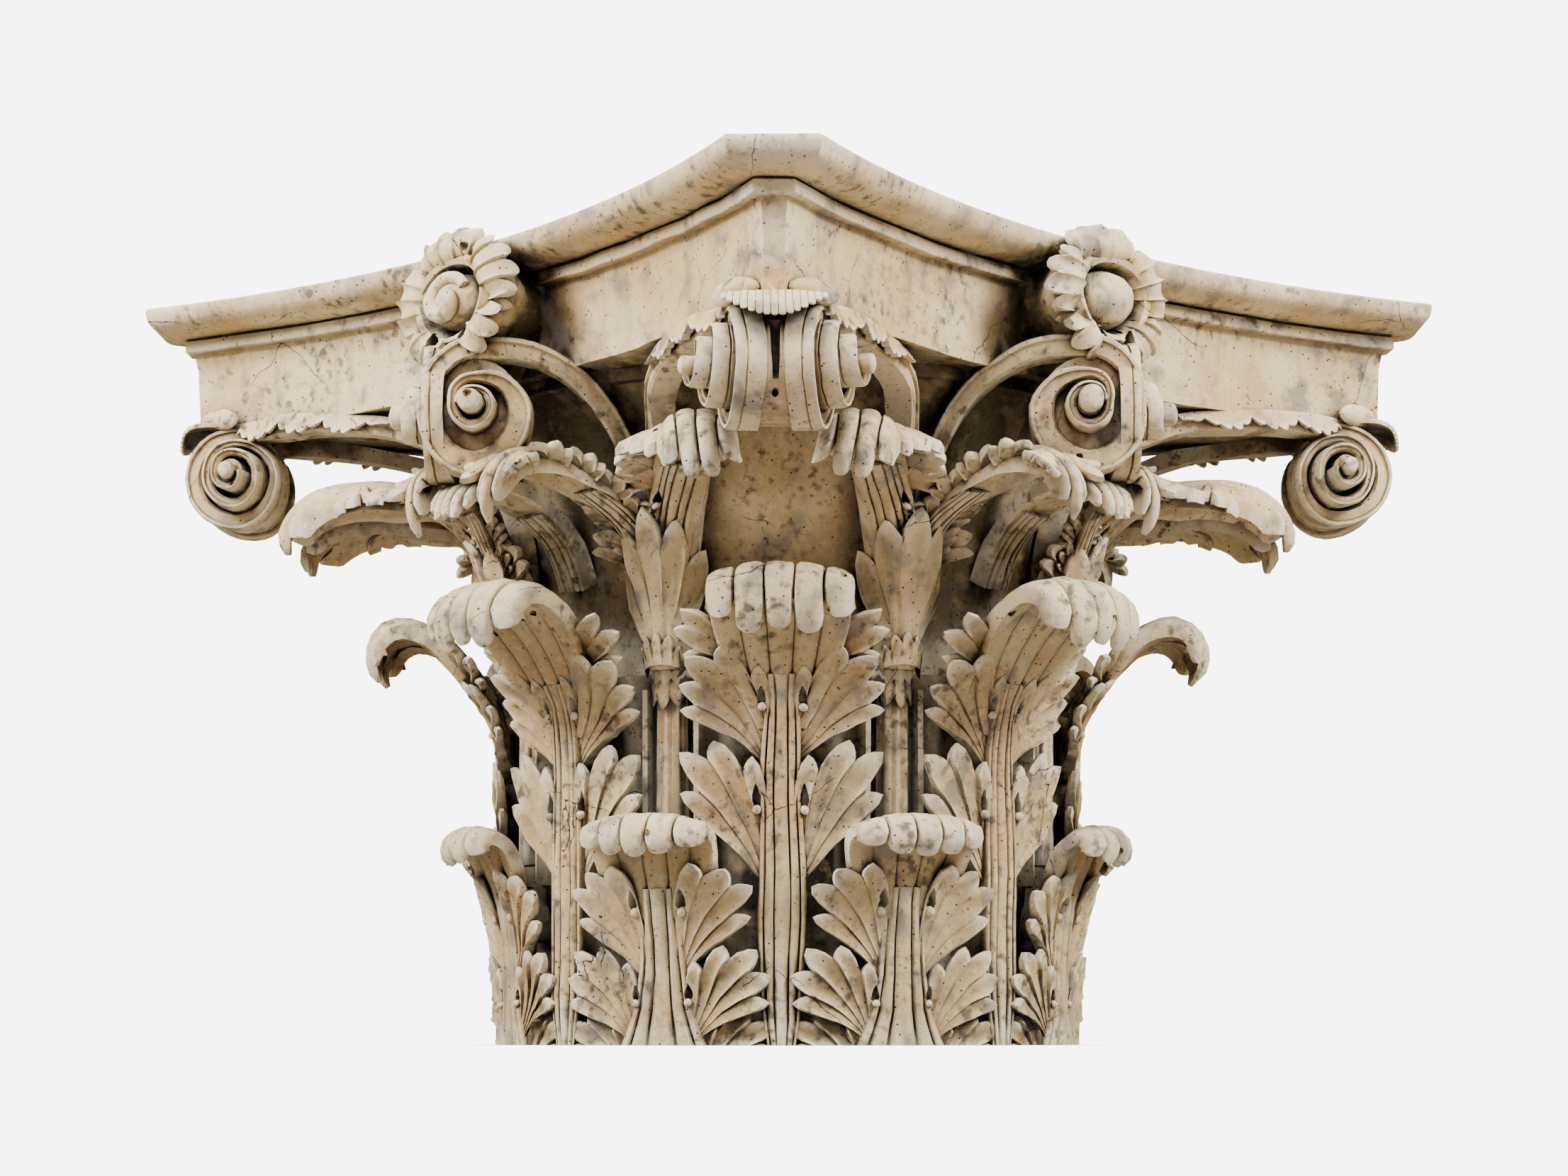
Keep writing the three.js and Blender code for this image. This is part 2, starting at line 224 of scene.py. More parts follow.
def grid_places(piece: Piece, rows: int, columns: int) -> tuple[Points, Points, Points]:
    """Reads where the points of a flat grid are, before it is bent.

    Args:
        piece: The grid, which may have been extruded upwards.
        rows: Points along its Y axis.
        columns: Points along its X axis.

    Returns:
        Each point's row, column and height.
    """
    places = read_points(piece) * MM
    row = np.rint((places[:, 1] + 0.5) * (rows - 1)).astype(int)
    column = np.rint((places[:, 0] + 0.5) * (columns - 1)).astype(int)
    return row, column, places[:, 2:]


def face_outwards() -> None:
    """Turns all selected faces of a closed shell outwards."""
    bpy.ops.mesh.normals_make_consistent(inside=False)


def slab(front: Points, back: Points) -> Piece:
    """Makes a closed plate between two grids of points.

    Args:
        front: Rows by columns of points, in millimetres.
        back: The same for the other face.

    Returns:
        The plate.
    """
    rows, columns = front.shape[:2]
    piece = lattice(rows, columns)
    edit_all(lambda: bpy.ops.mesh.extrude_region_move(TRANSFORM_OT_translate={"value": (0, 0, 1)}))
    row, column, height = grid_places(piece, rows, columns)
    write_points(piece, np.where(height > 0.5, front[row, column], back[row, column]))
    edit_all(face_outwards)
    return piece


def tube(rings: Points) -> Piece:
    """Makes a closed shell through rings of points, with flat ends.

    Args:
        rings: Rings by points round each ring, in millimetres.

    Returns:
        The shell.
    """
    count, sides = rings.shape[:2]
    piece = lattice(count, sides + 1)
    row, column, _ = grid_places(piece, count, sides + 1)
    write_points(piece, rings[row, column % sides])

    def close() -> None:
        """Welds the long seam, fills both ends and turns the faces outwards."""
        bpy.ops.mesh.remove_doubles(threshold=WELD)
        bpy.ops.mesh.select_all(action="DESELECT")
        bpy.ops.mesh.select_mode(type="EDGE")
        bpy.ops.mesh.select_non_manifold()
        bpy.ops.mesh.fill_holes(sides=0)
        bpy.ops.mesh.select_mode(type="VERT")
        bpy.ops.mesh.select_all(action="SELECT")
        face_outwards()

    edit_all(close)
    return piece


def copy_of(piece: Piece) -> Piece:
    """Copies a piece.

    Args:
        piece: The piece, which stays as it is.

    Returns:
        The copy, with a mesh of its own.
    """
    twin = piece.copy()
    twin.data = piece.data.copy()
    bpy.context.collection.objects.link(twin)
    return twin


def discard(piece: Piece) -> None:
    """Removes a piece and its mesh."""
    mesh = piece.data
    bpy.data.objects.remove(piece, do_unlink=True)
    bpy.data.meshes.remove(mesh)


def mirrored(piece: Piece) -> Piece:
    """Copies a piece to the other side of the XZ plane.

    Args:
        piece: The piece, which stays as it is.

    Returns:
        The copy.
    """
    twin = copy_of(piece)
    write_points(twin, read_points(twin) * (1.0, -1.0, 1.0))
    activate(twin)
    edit_all(bpy.ops.mesh.flip_normals)
    return twin


def placed(piece: Piece, degrees: float) -> Piece:
    """Copies a piece to another place round the capital.

    Args:
        piece: The piece, which stays as it is.
        degrees: How far round the copy stands.

    Returns:
        The copy.
    """
    twin = copy_of(piece)
    write_points(twin, turned(read_points(twin), degrees))
    return twin


class Join(Enum):
    """How one closed shell changes another."""

    ADD = "UNION"
    CUT = "DIFFERENCE"


def combine(piece: Piece, other: Piece, join: Join) -> Piece:
    """Joins one closed shell to another, or cuts it away.

    Args:
        piece: The shell that stays.
        other: The shell that is added or cut away, which is dropped afterwards.
        join: Which of the two is done.

    Returns:
        The shell that stays.
    """
    activate(piece)
    modifier = piece.modifiers.new("combine", "BOOLEAN")
    modifier.operation = join.value
    modifier.solver = "MANIFOLD"
    modifier.object = other
    bpy.ops.object.modifier_apply(modifier=modifier.name)
    discard(other)
    return piece


def united(pieces: Iterable[Piece]) -> Piece:
    """Joins closed shells, two by two.

    Args:
        pieces: The shells.

    Returns:
        One closed shell.
    """
    shells = list(pieces)
    while len(shells) > 1:
        pairs = zip(shells[::2], shells[1::2])
        rest = shells[len(shells) // 2 * 2:]
        shells = [combine(first, second, Join.ADD) for first, second in pairs] + rest
    return shells[0]


def cut(piece: Piece, cutters: Iterable[Piece]) -> Piece:
    """Cuts closed shells out of a piece.

    Args:
        piece: The piece to cut.
        cutters: The shells, which are dropped afterwards.

    Returns:
        The piece.
    """
    for cutter in cutters:
        combine(piece, cutter, Join.CUT)
    return piece


def row_of(piece: Piece, count: int, first: float, both_sides: bool = False) -> list[Piece]:
    """Copies a piece round the capital and drops the first one.

    Args:
        piece: The piece, drawn about the X axis.
        count: Places round the capital.
        first: Degrees to the first place.
        both_sides: Whether each place also gets a mirrored copy.

    Returns:
        The copies.
    """
    sides = [piece] + ([mirrored(piece)] if both_sides else [])
    copies = [placed(side, first + 360.0 * index / count) for index in range(count) for side in sides]
    for side in sides:
        discard(side)
    return copies


# ------------------------------------------------------------------ acanthus


class Spine:
    """The bent middle line of a leaf, which carries points drawn flat on the leaf."""

    steps = 24  # points made between two stations

    def __init__(self, stations: Sequence[Triple], facing: Pair = (0.0, 0.0), wrap: float = 300.0):
        """Threads the line.

        Args:
            stations: Radius, height and degrees off the X axis of places along the line.
            facing: Degrees off the X axis that the leaf's face looks at its foot and its tip.
            wrap: Radius that the leaf is bent to across its width.
        """
        radius, height, degrees = np.array([(*station, 0.0)[:3] for station in stations]).T
        self.line = catmull_rom(around(radius, height, degrees), self.steps)
        steps = np.linalg.norm(np.diff(self.line, axis=0), axis=1)
        self.along = np.concatenate([[0.0], np.cumsum(steps)])
        self.length = float(self.along[-1])
        self.wrap = wrap
        tangent = np.gradient(self.line, self.along, axis=0)
        self.tangent = tangent / np.linalg.norm(tangent, axis=1, keepdims=True)
        turn = np.radians(np.linspace(*facing, len(self.line)))
        self.across = np.stack([-np.sin(turn), np.cos(turn), 0 * turn], axis=-1)
        self.forward = np.stack([np.cos(turn), np.sin(turn), 0 * turn], axis=-1)
        normal = np.cross(self.across, self.tangent)
        self.normal = normal / np.linalg.norm(normal, axis=1, keepdims=True)

    def read(self, values: Points, along: Points) -> Points:
        """Returns what is kept for each point of the line, at lengths along it."""
        parts = [np.interp(along, self.along, values[:, axis]) for axis in range(3)]
        return np.stack(parts, axis=-1)

    def place(self, across: Points, along: Points, out: Points) -> Points:
        """Bends flat points over the line.

        Args:
            across: Millimetres to the side.
            along: Millimetres along the line, which may run past its ends.
            out: Millimetres out of the leaf's face.

        Returns:
            The points in the capital's frame.
        """
        across, along, out = np.broadcast_arrays(across, along, out)
        past = along - np.clip(along, 0.0, self.length)
        angle = across / self.wrap
        middle = self.read(self.line, along) + self.read(self.tangent, along) * past[..., None]
        sideways = self.read(self.across, along) * (self.wrap * np.sin(angle))[..., None]
        sag = self.read(self.forward, along) * (self.wrap * (np.cos(angle) - 1.0))[..., None]
        return middle + sideways + sag + self.read(self.normal, along) * out[..., None]


@dataclass(frozen=True)
class Lobe:
    """A fan of fingers that spread from one place on a leaf.

    Attributes:
        root: Across and along to the place that the fingers spread from.
        fingers: Degrees above level and length of each finger, from the lowest.
        notch: How far out the notches start, as a share of the fingers' length.
        sweep: How far the fingers stand upright at their root, from 0 to 1.
        cup: How deep each finger is hollowed.
        dish: How deep the whole fan is hollowed.
        lift: How far the tips stand off the leaf's face.
        out: How far the root stands off it.
        thick: Thickness at the root and at the tips.
        sharp: How round the tips are: 1 comes to a straight point, 2 is round.
        start: Distance from the root where the fan begins.
        lean: How far each finger laps over the next.
        rim: How far the edge is turned up, and down again at its very end.
        columns: Faces across each finger.
        rows: Rows of points from the root to the tips.
    """

    root: Pair
    fingers: tuple[Pair, ...]
    notch: float = 0.89
    sweep: float = 0.45
    cup: float = 2.4
    dish: float = 5.0
    lift: float = 12.0
    out: float = 0.0
    thick: Pair = (16.0, 7.0)
    sharp: float = 1.5
    start: float = 8.0
    lean: float = 2.4
    rim: Pair = (1.8, 1.4)
    columns: int = 8
    rows: int = 11

    def shell(self, spine: Spine, side: int = 1) -> Piece:
        """Builds the fan on one side of a leaf.

        Args:
            spine: The leaf's bent line.
            side: 1 for the left of the leaf and -1 for its right.

        Returns:
            The fan as a closed shell.
        """
        angles = np.array([angle for angle, _ in self.fingers])
        lengths = np.array([length for _, length in self.fingers])
        gaps = np.diff(angles)
        low = np.concatenate([[gaps[0] * 0.55], gaps / 2])
        high = np.concatenate([gaps / 2, [gaps[-1] * 0.55]])
        near = self.notch * np.minimum(lengths[:-1], lengths[1:])
        low_notch = np.concatenate([[self.notch * 0.7 * lengths[0]], near])
        high_notch = np.concatenate([near, [self.notch * 0.7 * lengths[-1]]])
        local = np.sin(np.linspace(-1.0, 1.0, self.columns + 1) * math.pi / 2)
        ray, reach, place = [], [], []
        for index, angle in enumerate(angles):
            keep = slice(0 if index == 0 else 1, None)
            spread = np.where(local < 0, low[index], high[index])
            notch = np.where(local < 0, low_notch[index], high_notch[index])
            tip = (1.0 - np.abs(local) ** self.sharp) ** 0.8
            ray.append((angle + local * spread)[keep])
            reach.append((notch + (lengths[index] - notch) * tip)[keep])
            place.append(local[keep])
        ray, reach, place = (np.concatenate(values) for values in (ray, reach, place))
        rise = np.concatenate([np.linspace(0.0, 0.94, self.rows - 1), [1.0]])[:, None]
        radius = self.start + (reach - self.start) * rise
        share = radius / lengths.max()
        angle = np.radians(ray + self.sweep * (90.0 - ray) * (1.0 - share))
        across = side * (self.root[0] + radius * np.cos(angle))
        along = self.root[1] + radius * np.sin(angle)
        grow = 0.2 + 0.8 * ease(rise, 0.2, 0.85)
        fan = np.linspace(-1.0, 1.0, len(ray)) ** 2
        ridge = self.cup * (np.abs(place) ** 2.0 - 0.5) * grow
        lean = -self.lean * place * np.abs(place) ** 3 * grow
        rim = self.rim[0] * ease(rise, 0.72, 0.94) - self.rim[1] * ease(rise, 0.94, 1.0)
        swell = self.out + self.lift * share ** 2 + self.dish * (fan - 0.6) * share
        thickness = self.thick[0] + (self.thick[1] - self.thick[0]) * ease(rise, 0.0, 0.9)
        thickness = thickness * (1.0 - 0.4 * ease(rise, 0.94, 1.0))
        front = swell + ridge + lean + rim
        behind = swell + 0.3 * ridge - thickness
        return slab(spine.place(across, along, front), spine.place(across, along, behind))


@dataclass(frozen=True)
class Stalk:
    """The ribbed middle of a leaf, which is one with whatever stands behind it.

    Attributes:
        halves: Half width at places along the leaf.
        behind: How far its back lies behind the leaf's face.
        ribs: Width of each rib, as shares of the whole.
        groove: Depth of the grooves between the ribs.
        out: How far the ribs stand off the leaf's face.
        round: How far each rib is rounded.
        crown: How far the middle stands over the sides.
        rows: Rows of points along the leaf.
        columns: Faces across each rib.
    """

    halves: tuple[Pair, ...]
    behind: float = 36.0
    ribs: tuple[float, ...] = (0.13, 0.2, 0.34, 0.2, 0.13)
    groove: float = 4.0
    out: float = 3.0
    round: float = 1.4
    crown: float = 2.5
    rows: int = 16
    columns: int = 6

    def shell(self, spine: Spine) -> Piece:
        """Builds the stalk.

        Args:
            spine: The leaf's bent line.

        Returns:
            The stalk as a closed shell.
        """
        along = np.linspace(self.halves[0][0], self.halves[-1][0], self.rows)[:, None]
        edges = np.concatenate([[0.0], np.cumsum(self.ribs)]) / sum(self.ribs) * 2 - 1
        local = np.sin(np.linspace(-1.0, 1.0, self.columns + 1) * math.pi / 2)
        share, place = [], []
        for index, (low, high) in enumerate(zip(edges, edges[1:])):
            keep = slice(0 if index == 0 else 1, None)
            share.append((low + (high - low) * (local + 1) / 2)[keep])
            place.append(np.abs(local)[keep])
        share, place = np.concatenate(share), np.concatenate(place)
        relief = self.round * (1.0 - place ** 2) - self.groove * place ** 9
        across = share * read_line(self.halves, along)
        front = spine.place(across, along, self.out + relief + self.crown * (1.0 - share ** 2))
        return slab(front, spine.place(across, along, -self.behind + 0 * across))


@dataclass(frozen=True)
class Curl:
    """The top of a leaf, which bends over and hangs down in rounded tongues.

    Attributes:
        start: Length along the leaf where it starts.
        tongues: Length along the leaf of each tongue's tip.
        halves: Half width at places along the leaf.
        thick: Thickness at places along the leaf.
        groove: Depth of the grooves between the tongues.
        grooved: Share of the length where the grooves begin and where they are full.
        slit: How far a slit runs up between two tongues.
        round: How much a tongue's tip is rounded off.
        droop: How far the side edges bend round towards the leaf's face.
        bulge: How far each tongue is rounded outwards.
        veins: Height of the veins that run up its hollow side.
        columns: Faces across each tongue.
        rows: Rows of points from its start to the tips.
    """

    start: float
    tongues: tuple[float, ...]
    halves: tuple[Pair, ...]
    thick: tuple[Pair, ...]
    groove: float = 4.0
    grooved: Pair = (0.35, 0.6)
    slit: float = 26.0
    round: float = 12.0
    bulge: float = 2.0
    droop: float = 0.0
    veins: float = 0.0
    columns: int = 10
    rows: int = 22

    def shell(self, spine: Spine) -> Piece:
        """Builds the curl.

        Args:
            spine: The leaf's bent line.

        Returns:
            The curl as a closed shell.
        """
        count = len(self.tongues)
        local = np.sin(np.linspace(-1.0, 1.0, self.columns + 1) * math.pi / 2)
        share, edge, tip = [], [], []
        for index, length in enumerate(self.tongues):
            keep = slice(0 if index == 0 else 1, None)
            middle = (2 * index + 1) / count - 1.0
            outer = np.sign(middle) * local > 0
            last = index in (0, count - 1)
            depth = np.where(outer & last, 0.0, self.slit)
            share.append((middle + local / count)[keep])
            edge.append(np.abs(local)[keep])
            tip.append((length - self.round * np.abs(local) ** 3 - depth * np.abs(local) ** 24)[keep])
        share, edge, tip = (np.concatenate(values) for values in (share, edge, tip))
        rise = np.linspace(0.0, 1.0, self.rows)[:, None] ** 0.9
        along = self.start + (tip - self.start) * rise
        across = share * read_line(self.halves, along)
        fade = ease(rise, *self.grooved)
        blunt = np.sqrt(np.maximum(1.0 - rise ** 9, 0.0)) * 0.8 + 0.2
        thickness = read_line(self.thick, along) * blunt * (1.0 - 0.18 * share ** 2)
        relief = self.bulge * fade * (1.0 - edge ** 2) - self.groove * fade * edge ** 24
        bend = self.droop * np.abs(share) ** 3 * ease(rise, 0.0, 0.4)
        wave = np.abs(np.sin(share * math.pi * 2.5 + math.pi / 2)) ** 0.6
        veins = self.veins * wave * ease(rise, 0.0, 0.15)
        front = spine.place(across, along, 1.0 + veins * (1.0 - ease(rise, 0.5, 0.75)) + bend)
        return slab(front, spine.place(across, along, bend - thickness - relief))


@dataclass(frozen=True)
class Eye:
    """A drop-shaped hole drilled where two lobes of a leaf meet.

    Attributes:
        across: How far it lies from the leaf's middle.
        along: How far it lies from the leaf's foot.
        length: Its length.
        width: Its width at the round end.
        lean: Degrees that it leans away from the leaf's middle.
        depth: How far the cutter reaches behind the leaf's face and before it.
    """

    across: float
    along: float
    length: float = 20.0
    width: float = 8.0
    lean: float = 0.0
    depth: Pair = (-40.0, 34.0)

    def cutter(self, spine: Spine, side: int = 1) -> Piece:
        """Builds the solid that cuts the hole.

        Args:
            spine: The leaf's bent line.
            side: 1 for the left of the leaf and -1 for its right.

        Returns:
            The cutter.
        """
        angle = np.linspace(0.0, 2 * math.pi, 12, endpoint=False)
        drop = np.cos(angle)
        wide = np.sin(angle) * (0.62 - 0.38 * drop) * self.width * 0.8
        tall = drop * self.length / 2
        lean = math.radians(self.lean)
        across = side * (self.across + wide * math.cos(lean) + tall * math.sin(lean))
        along = self.along + tall * math.cos(lean) - wide * math.sin(lean)
        return tube(spine.place(across, along, np.array(self.depth)[:, None]))

    def knob(self, spine: Spine, side: int = 1) -> Piece:
        """Builds the small drop of plaster under the hole.

        Args:
            spine: The leaf's bent line.
            side: 1 for the left of the leaf and -1 for its right.

        Returns:
            The drop as a closed shell.
        """
        angle = np.linspace(0.0, 2 * math.pi, 10, endpoint=False)
        size = self.width * 0.55
        rings = []
        for share in np.linspace(-1.4, 1.45, 7):
            reach = max(math.cos(share), 0.12) * size
            across = side * (self.across + reach * np.cos(angle))
            along = self.along - self.length * 0.62 + reach * np.sin(angle)
            rings.append(spine.place(across, along, 5.0 + size * math.sin(share)))
        return tube(np.array(rings))


@dataclass
class Acanthus:
    """One acanthus leaf: stalk, lobes to each side, curl and eyes.

    Attributes:
        spine: The bent line that carries it.
        stalk: Its ribbed middle, if it has one.
        lobes: Fans on both sides.
        right: Fans on the right side only.
        curl: Its top, if it bends over.
        eyes: Holes on both sides.
    """

    spine: Spine
    stalk: Stalk | None = None
    lobes: tuple[Lobe, ...] = ()
    right: tuple[Lobe, ...] = ()
    curl: Curl | None = None
    eyes: tuple[Eye, ...] = ()

    def build(self) -> Piece:
        """Builds the leaf about the X axis.

        Returns:
            The leaf as one closed shell.
        """
        shells = [lobe.shell(self.spine, side) for lobe in self.lobes for side in (-1, 1)]
        shells += [lobe.shell(self.spine) for lobe in self.right]
        shells += [part.shell(self.spine) for part in (self.curl, self.stalk) if part]
        sides = (1,) if self.right else (-1, 1)
        holes = [eye.cutter(self.spine, side) for eye in self.eyes for side in sides]
        knobs = [eye.knob(self.spine, side) for eye in self.eyes for side in sides]
        return united([cut(united(shells), holes)] + knobs)


def upper_leaf() -> Acanthus:
    """Draws a leaf of the upper row, which stands on the underside and reaches the calyces.

    Returns:
        The leaf, about the X axis.
    """
    spine = Spine([(293, 0), (293, 140), (293, 280), (300, 328), (316, 356), (338, 385), (362, 406),
                   (386, 417), (405, 416), (418, 405), (422, 386), (416, 370), (405, 359)])
    return Acanthus(
        spine,
        Stalk(((0, 14), (40, 20), (120, 23), (166, 22), (287, 18), (330, 15), (352, 20)), behind=34),
        lobes=(
            Lobe((13, 140), ((44, 128), (58, 158), (71, 154), (84, 131)), lift=17, out=-2, sweep=0.5),
            Lobe((11, 258), ((27, 104), (41, 121), (55, 140), (70, 134), (84, 104)), lift=16, out=-1),
            Lobe((10, 330), ((20, 92), (34, 113), (47, 124)), lift=2, notch=0.86, sweep=0.3),
        ),
        curl=Curl(
            start=296, tongues=(514, 528, 524, 528, 514),
            halves=((296, 22), (322, 36), (350, 50), (400, 63), (440, 68), (530, 68)),
            thick=((296, 14), (380, 15), (430, 19), (470, 18), (500, 11), (530, 8)),
            grooved=(0.64, 0.72), slit=20, groove=7, bulge=1.8, droop=7, veins=5.0,
        ),
        eyes=(Eye(19, 330, 20, 8), Eye(23, 234, 22, 8)),
    )


def lower_leaf() -> Acanthus:
    """Draws a leaf of the lower row.

    Returns:
        The leaf, about the X axis.
    """
    spine = Spine([(293, 0), (293, 81), (301, 146), (311, 176), (325, 196), (340, 203), (351, 197),
                   (354, 184), (350, 174)])
    return Acanthus(
        spine,
        Stalk(((0, 46), (30, 32), (73, 24), (150, 22)), behind=34, rows=10),
        lobes=(
            Lobe((34, -44), ((22, 86), (40, 100), (57, 92), (74, 68)), lift=8, out=-1, thick=(30, 16)),
            Lobe((29, -2), ((21, 89), (38, 104), (54, 114), (69, 102), (86, 80)), lift=15, out=2),
            Lobe((15, 54), ((35, 101), (50, 126), (64, 130), (79, 128)), lift=17, out=2, sweep=0.5),
        ),
        curl=Curl(
            start=104, tongues=(246, 252, 254, 252, 246),
            halves=((104, 26), (130, 42), (158, 57), (200, 65), (255, 64)),
            thick=((104, 14), (190, 14), (225, 14), (255, 9)),
            groove=5, grooved=(0.84, 0.9), slit=8, round=6, bulge=1.2, droop=8, veins=4.5,
        ),
        eyes=(Eye(25, 140, 22, 10), Eye(27, 50, 16, 7)),
    )


# ------------------------------------------------------------------ round and swept work


def lathe(profile: Sequence[Pair], sides: int) -> Piece:
    """Turns a profile about the capital's axis.

    Args:
        profile: Radius and height of each ring, from the bottom.
        sides: Faces round each ring.

    Returns:
        The closed shell.
    """
    radius, height = np.array(profile, float).T
    degrees = np.linspace(0.0, 360.0, sides, endpoint=False)
    return tube(around(radius[:, None], height[:, None], degrees))


@dataclass(frozen=True)
class Stem:
    """A fluted stem engaged in the bell, with a collar of tongues at its top.

    Attributes:
        centre: Distance of its axis from the capital's.
        bottom: Height where it comes out from behind the leaves.
        foot: Its radius there.
        mouldings: How far below the joint each of its rings is, its radius and its flutes' depth.
        flutes: Flutes round it.
        strip_out: How far from the capital's axis the strips beside it begin and end.
        strip_across: How far to each side of it their middles are.
        strip_half: Half their width.
        strip_ends: How far they run down behind the leaves and stop short of the joint.
    """

    centre: float = 270.0
    bottom: float = 178.0
    foot: float = 17.0
    mouldings: tuple[Triple, ...] = ((27, 15, 1.6), (22, 15, 1.6), (21, 18, 0.6), (8, 19.5, 1.0),
                                     (3, 21, 1.2), (0, 20.5, 0.8))
    flutes: int = 9
    strip_out: Pair = (250, 277)
    strip_across: float = 27.0
    strip_half: float = 2.6
    strip_ends: Pair = (20, 16)

    def build(self) -> Piece:
        """Builds the stem about the X axis.

        Returns:
            The stem, its collar and its strips as one closed shell.
        """
        top = JOINT_HEIGHT - JOINT_GAP / 2
        angle = np.linspace(0.0, 2 * math.pi, self.flutes * 4, endpoint=False)
        profile = [(self.bottom, self.foot, 0.0)]
        profile += [(top - below, radius, flute) for below, radius, flute in self.mouldings]
        rings = []
        for height, radius, flute in profile:
            reach = radius + flute * np.cos(angle * self.flutes)
            ring = [self.centre + reach * np.cos(angle), reach * np.sin(angle), 0 * angle + height]
            rings.append(np.stack(ring, axis=-1))
        strips = [self.strip(side) for side in (-1, 1)]
        return united([tube(np.array(rings)), self.collar()] + strips)

    def collar(self) -> Piece:
        """Builds the tongues that hang round the stem's top.

        Returns:
            The tongues as a closed shell.
        """
        spine = Spine([(283, 352), (288, 340), (290, 326), (289, 312)], wrap=20)
        tongues = Lobe((0, -60), ((72, 88), (81, 94), (90, 96), (99, 94), (108, 88)), notch=0.88,
                       sweep=0, cup=-2, dish=0, lift=-2, out=-1, thick=(-12, -6), start=60,
                       rows=6, columns=6)
        return tongues.shell(spine)

    def strip(self, side: int) -> Piece:
        """Builds the thin strip that stands beside the stem.

        Args:
            side: 1 for the strip on its left and -1 for the one on its right.

        Returns:
            The strip as a closed shell.
        """
        near, far = self.strip_out
        low = side * self.strip_across - self.strip_half
        high = side * self.strip_across + self.strip_half
        corners = [(near, low), (far, low), (far, high), (near, high)]
        levels = (self.bottom - self.strip_ends[0], JOINT_HEIGHT - self.strip_ends[1])
        return tube(np.array([[(*corner, level) for corner in corners] for level in levels], float))


@dataclass(frozen=True)
class Calyx:
    """The cup of leaves that each pair of stalks grows from.

    Attributes:
        rings: Height, distance out, half width, half depth and flute depth of each ring.
        flutes: Flutes round it.
    """

    rings: tuple[tuple[float, ...], ...] = (
        (JOINT_HEIGHT + JOINT_GAP / 2, 281, 17, 16, 0.0), (358, 281, 21, 19, 0.5),
        (366, 282, 24, 22, 1.0), (376, 283, 24, 21, 1.0),
        (382, 284, 22, 20, 1.6), (405, 286, 25, 21, 2.2), (430, 290, 30, 22, 2.6), (456, 295, 36, 22, 2.8),
        (474, 299, 39, 18, 2.8), (480, 300, 33, 12, 2.0),
    )
    flutes: int = 9

    def build(self) -> Piece:
        """Builds the cup about the X axis.

        Returns:
            The cup, its pointed fingers and the tongues round its foot as one closed shell.
        """
        angle = np.linspace(0.0, 2 * math.pi, self.flutes * 6, endpoint=False)
        wave = np.abs(np.cos(angle * self.flutes / 2)) ** 0.6
        rings = []
        for height, centre, across, outwards, flute in self.rings:
            reach = flute * (wave - 0.5)
            rings.append(np.stack([centre + (outwards + reach) * np.cos(angle),
                                   (across + reach) * np.sin(angle), 0 * angle + height], axis=-1))
        spine = Spine([(300, 372), (306, 410), (318, 452), (336, 492), (356, 514)], wrap=46)
        fingers = Lobe((0, -20), ((64, 128), (77, 146), (90, 156), (103, 146), (116, 128)), notch=0.84,
                       sweep=0, cup=4.5, dish=-4, lift=3, thick=(16, 8), start=30, sharp=1.4)
        foot = Spine([(304, 358), (307, 370), (309, 384), (312, 394)], wrap=24)
        tongues = Lobe((0, -60), ((73, 82), (81.5, 88), (90, 90), (98.5, 88), (107, 82)), notch=0.88,
                       sweep=0, cup=2, dish=0, lift=1, thick=(12, 5), start=60, rows=6, columns=6)
        return united([tube(np.array(rings)), fingers.shell(spine), tongues.shell(foot)])


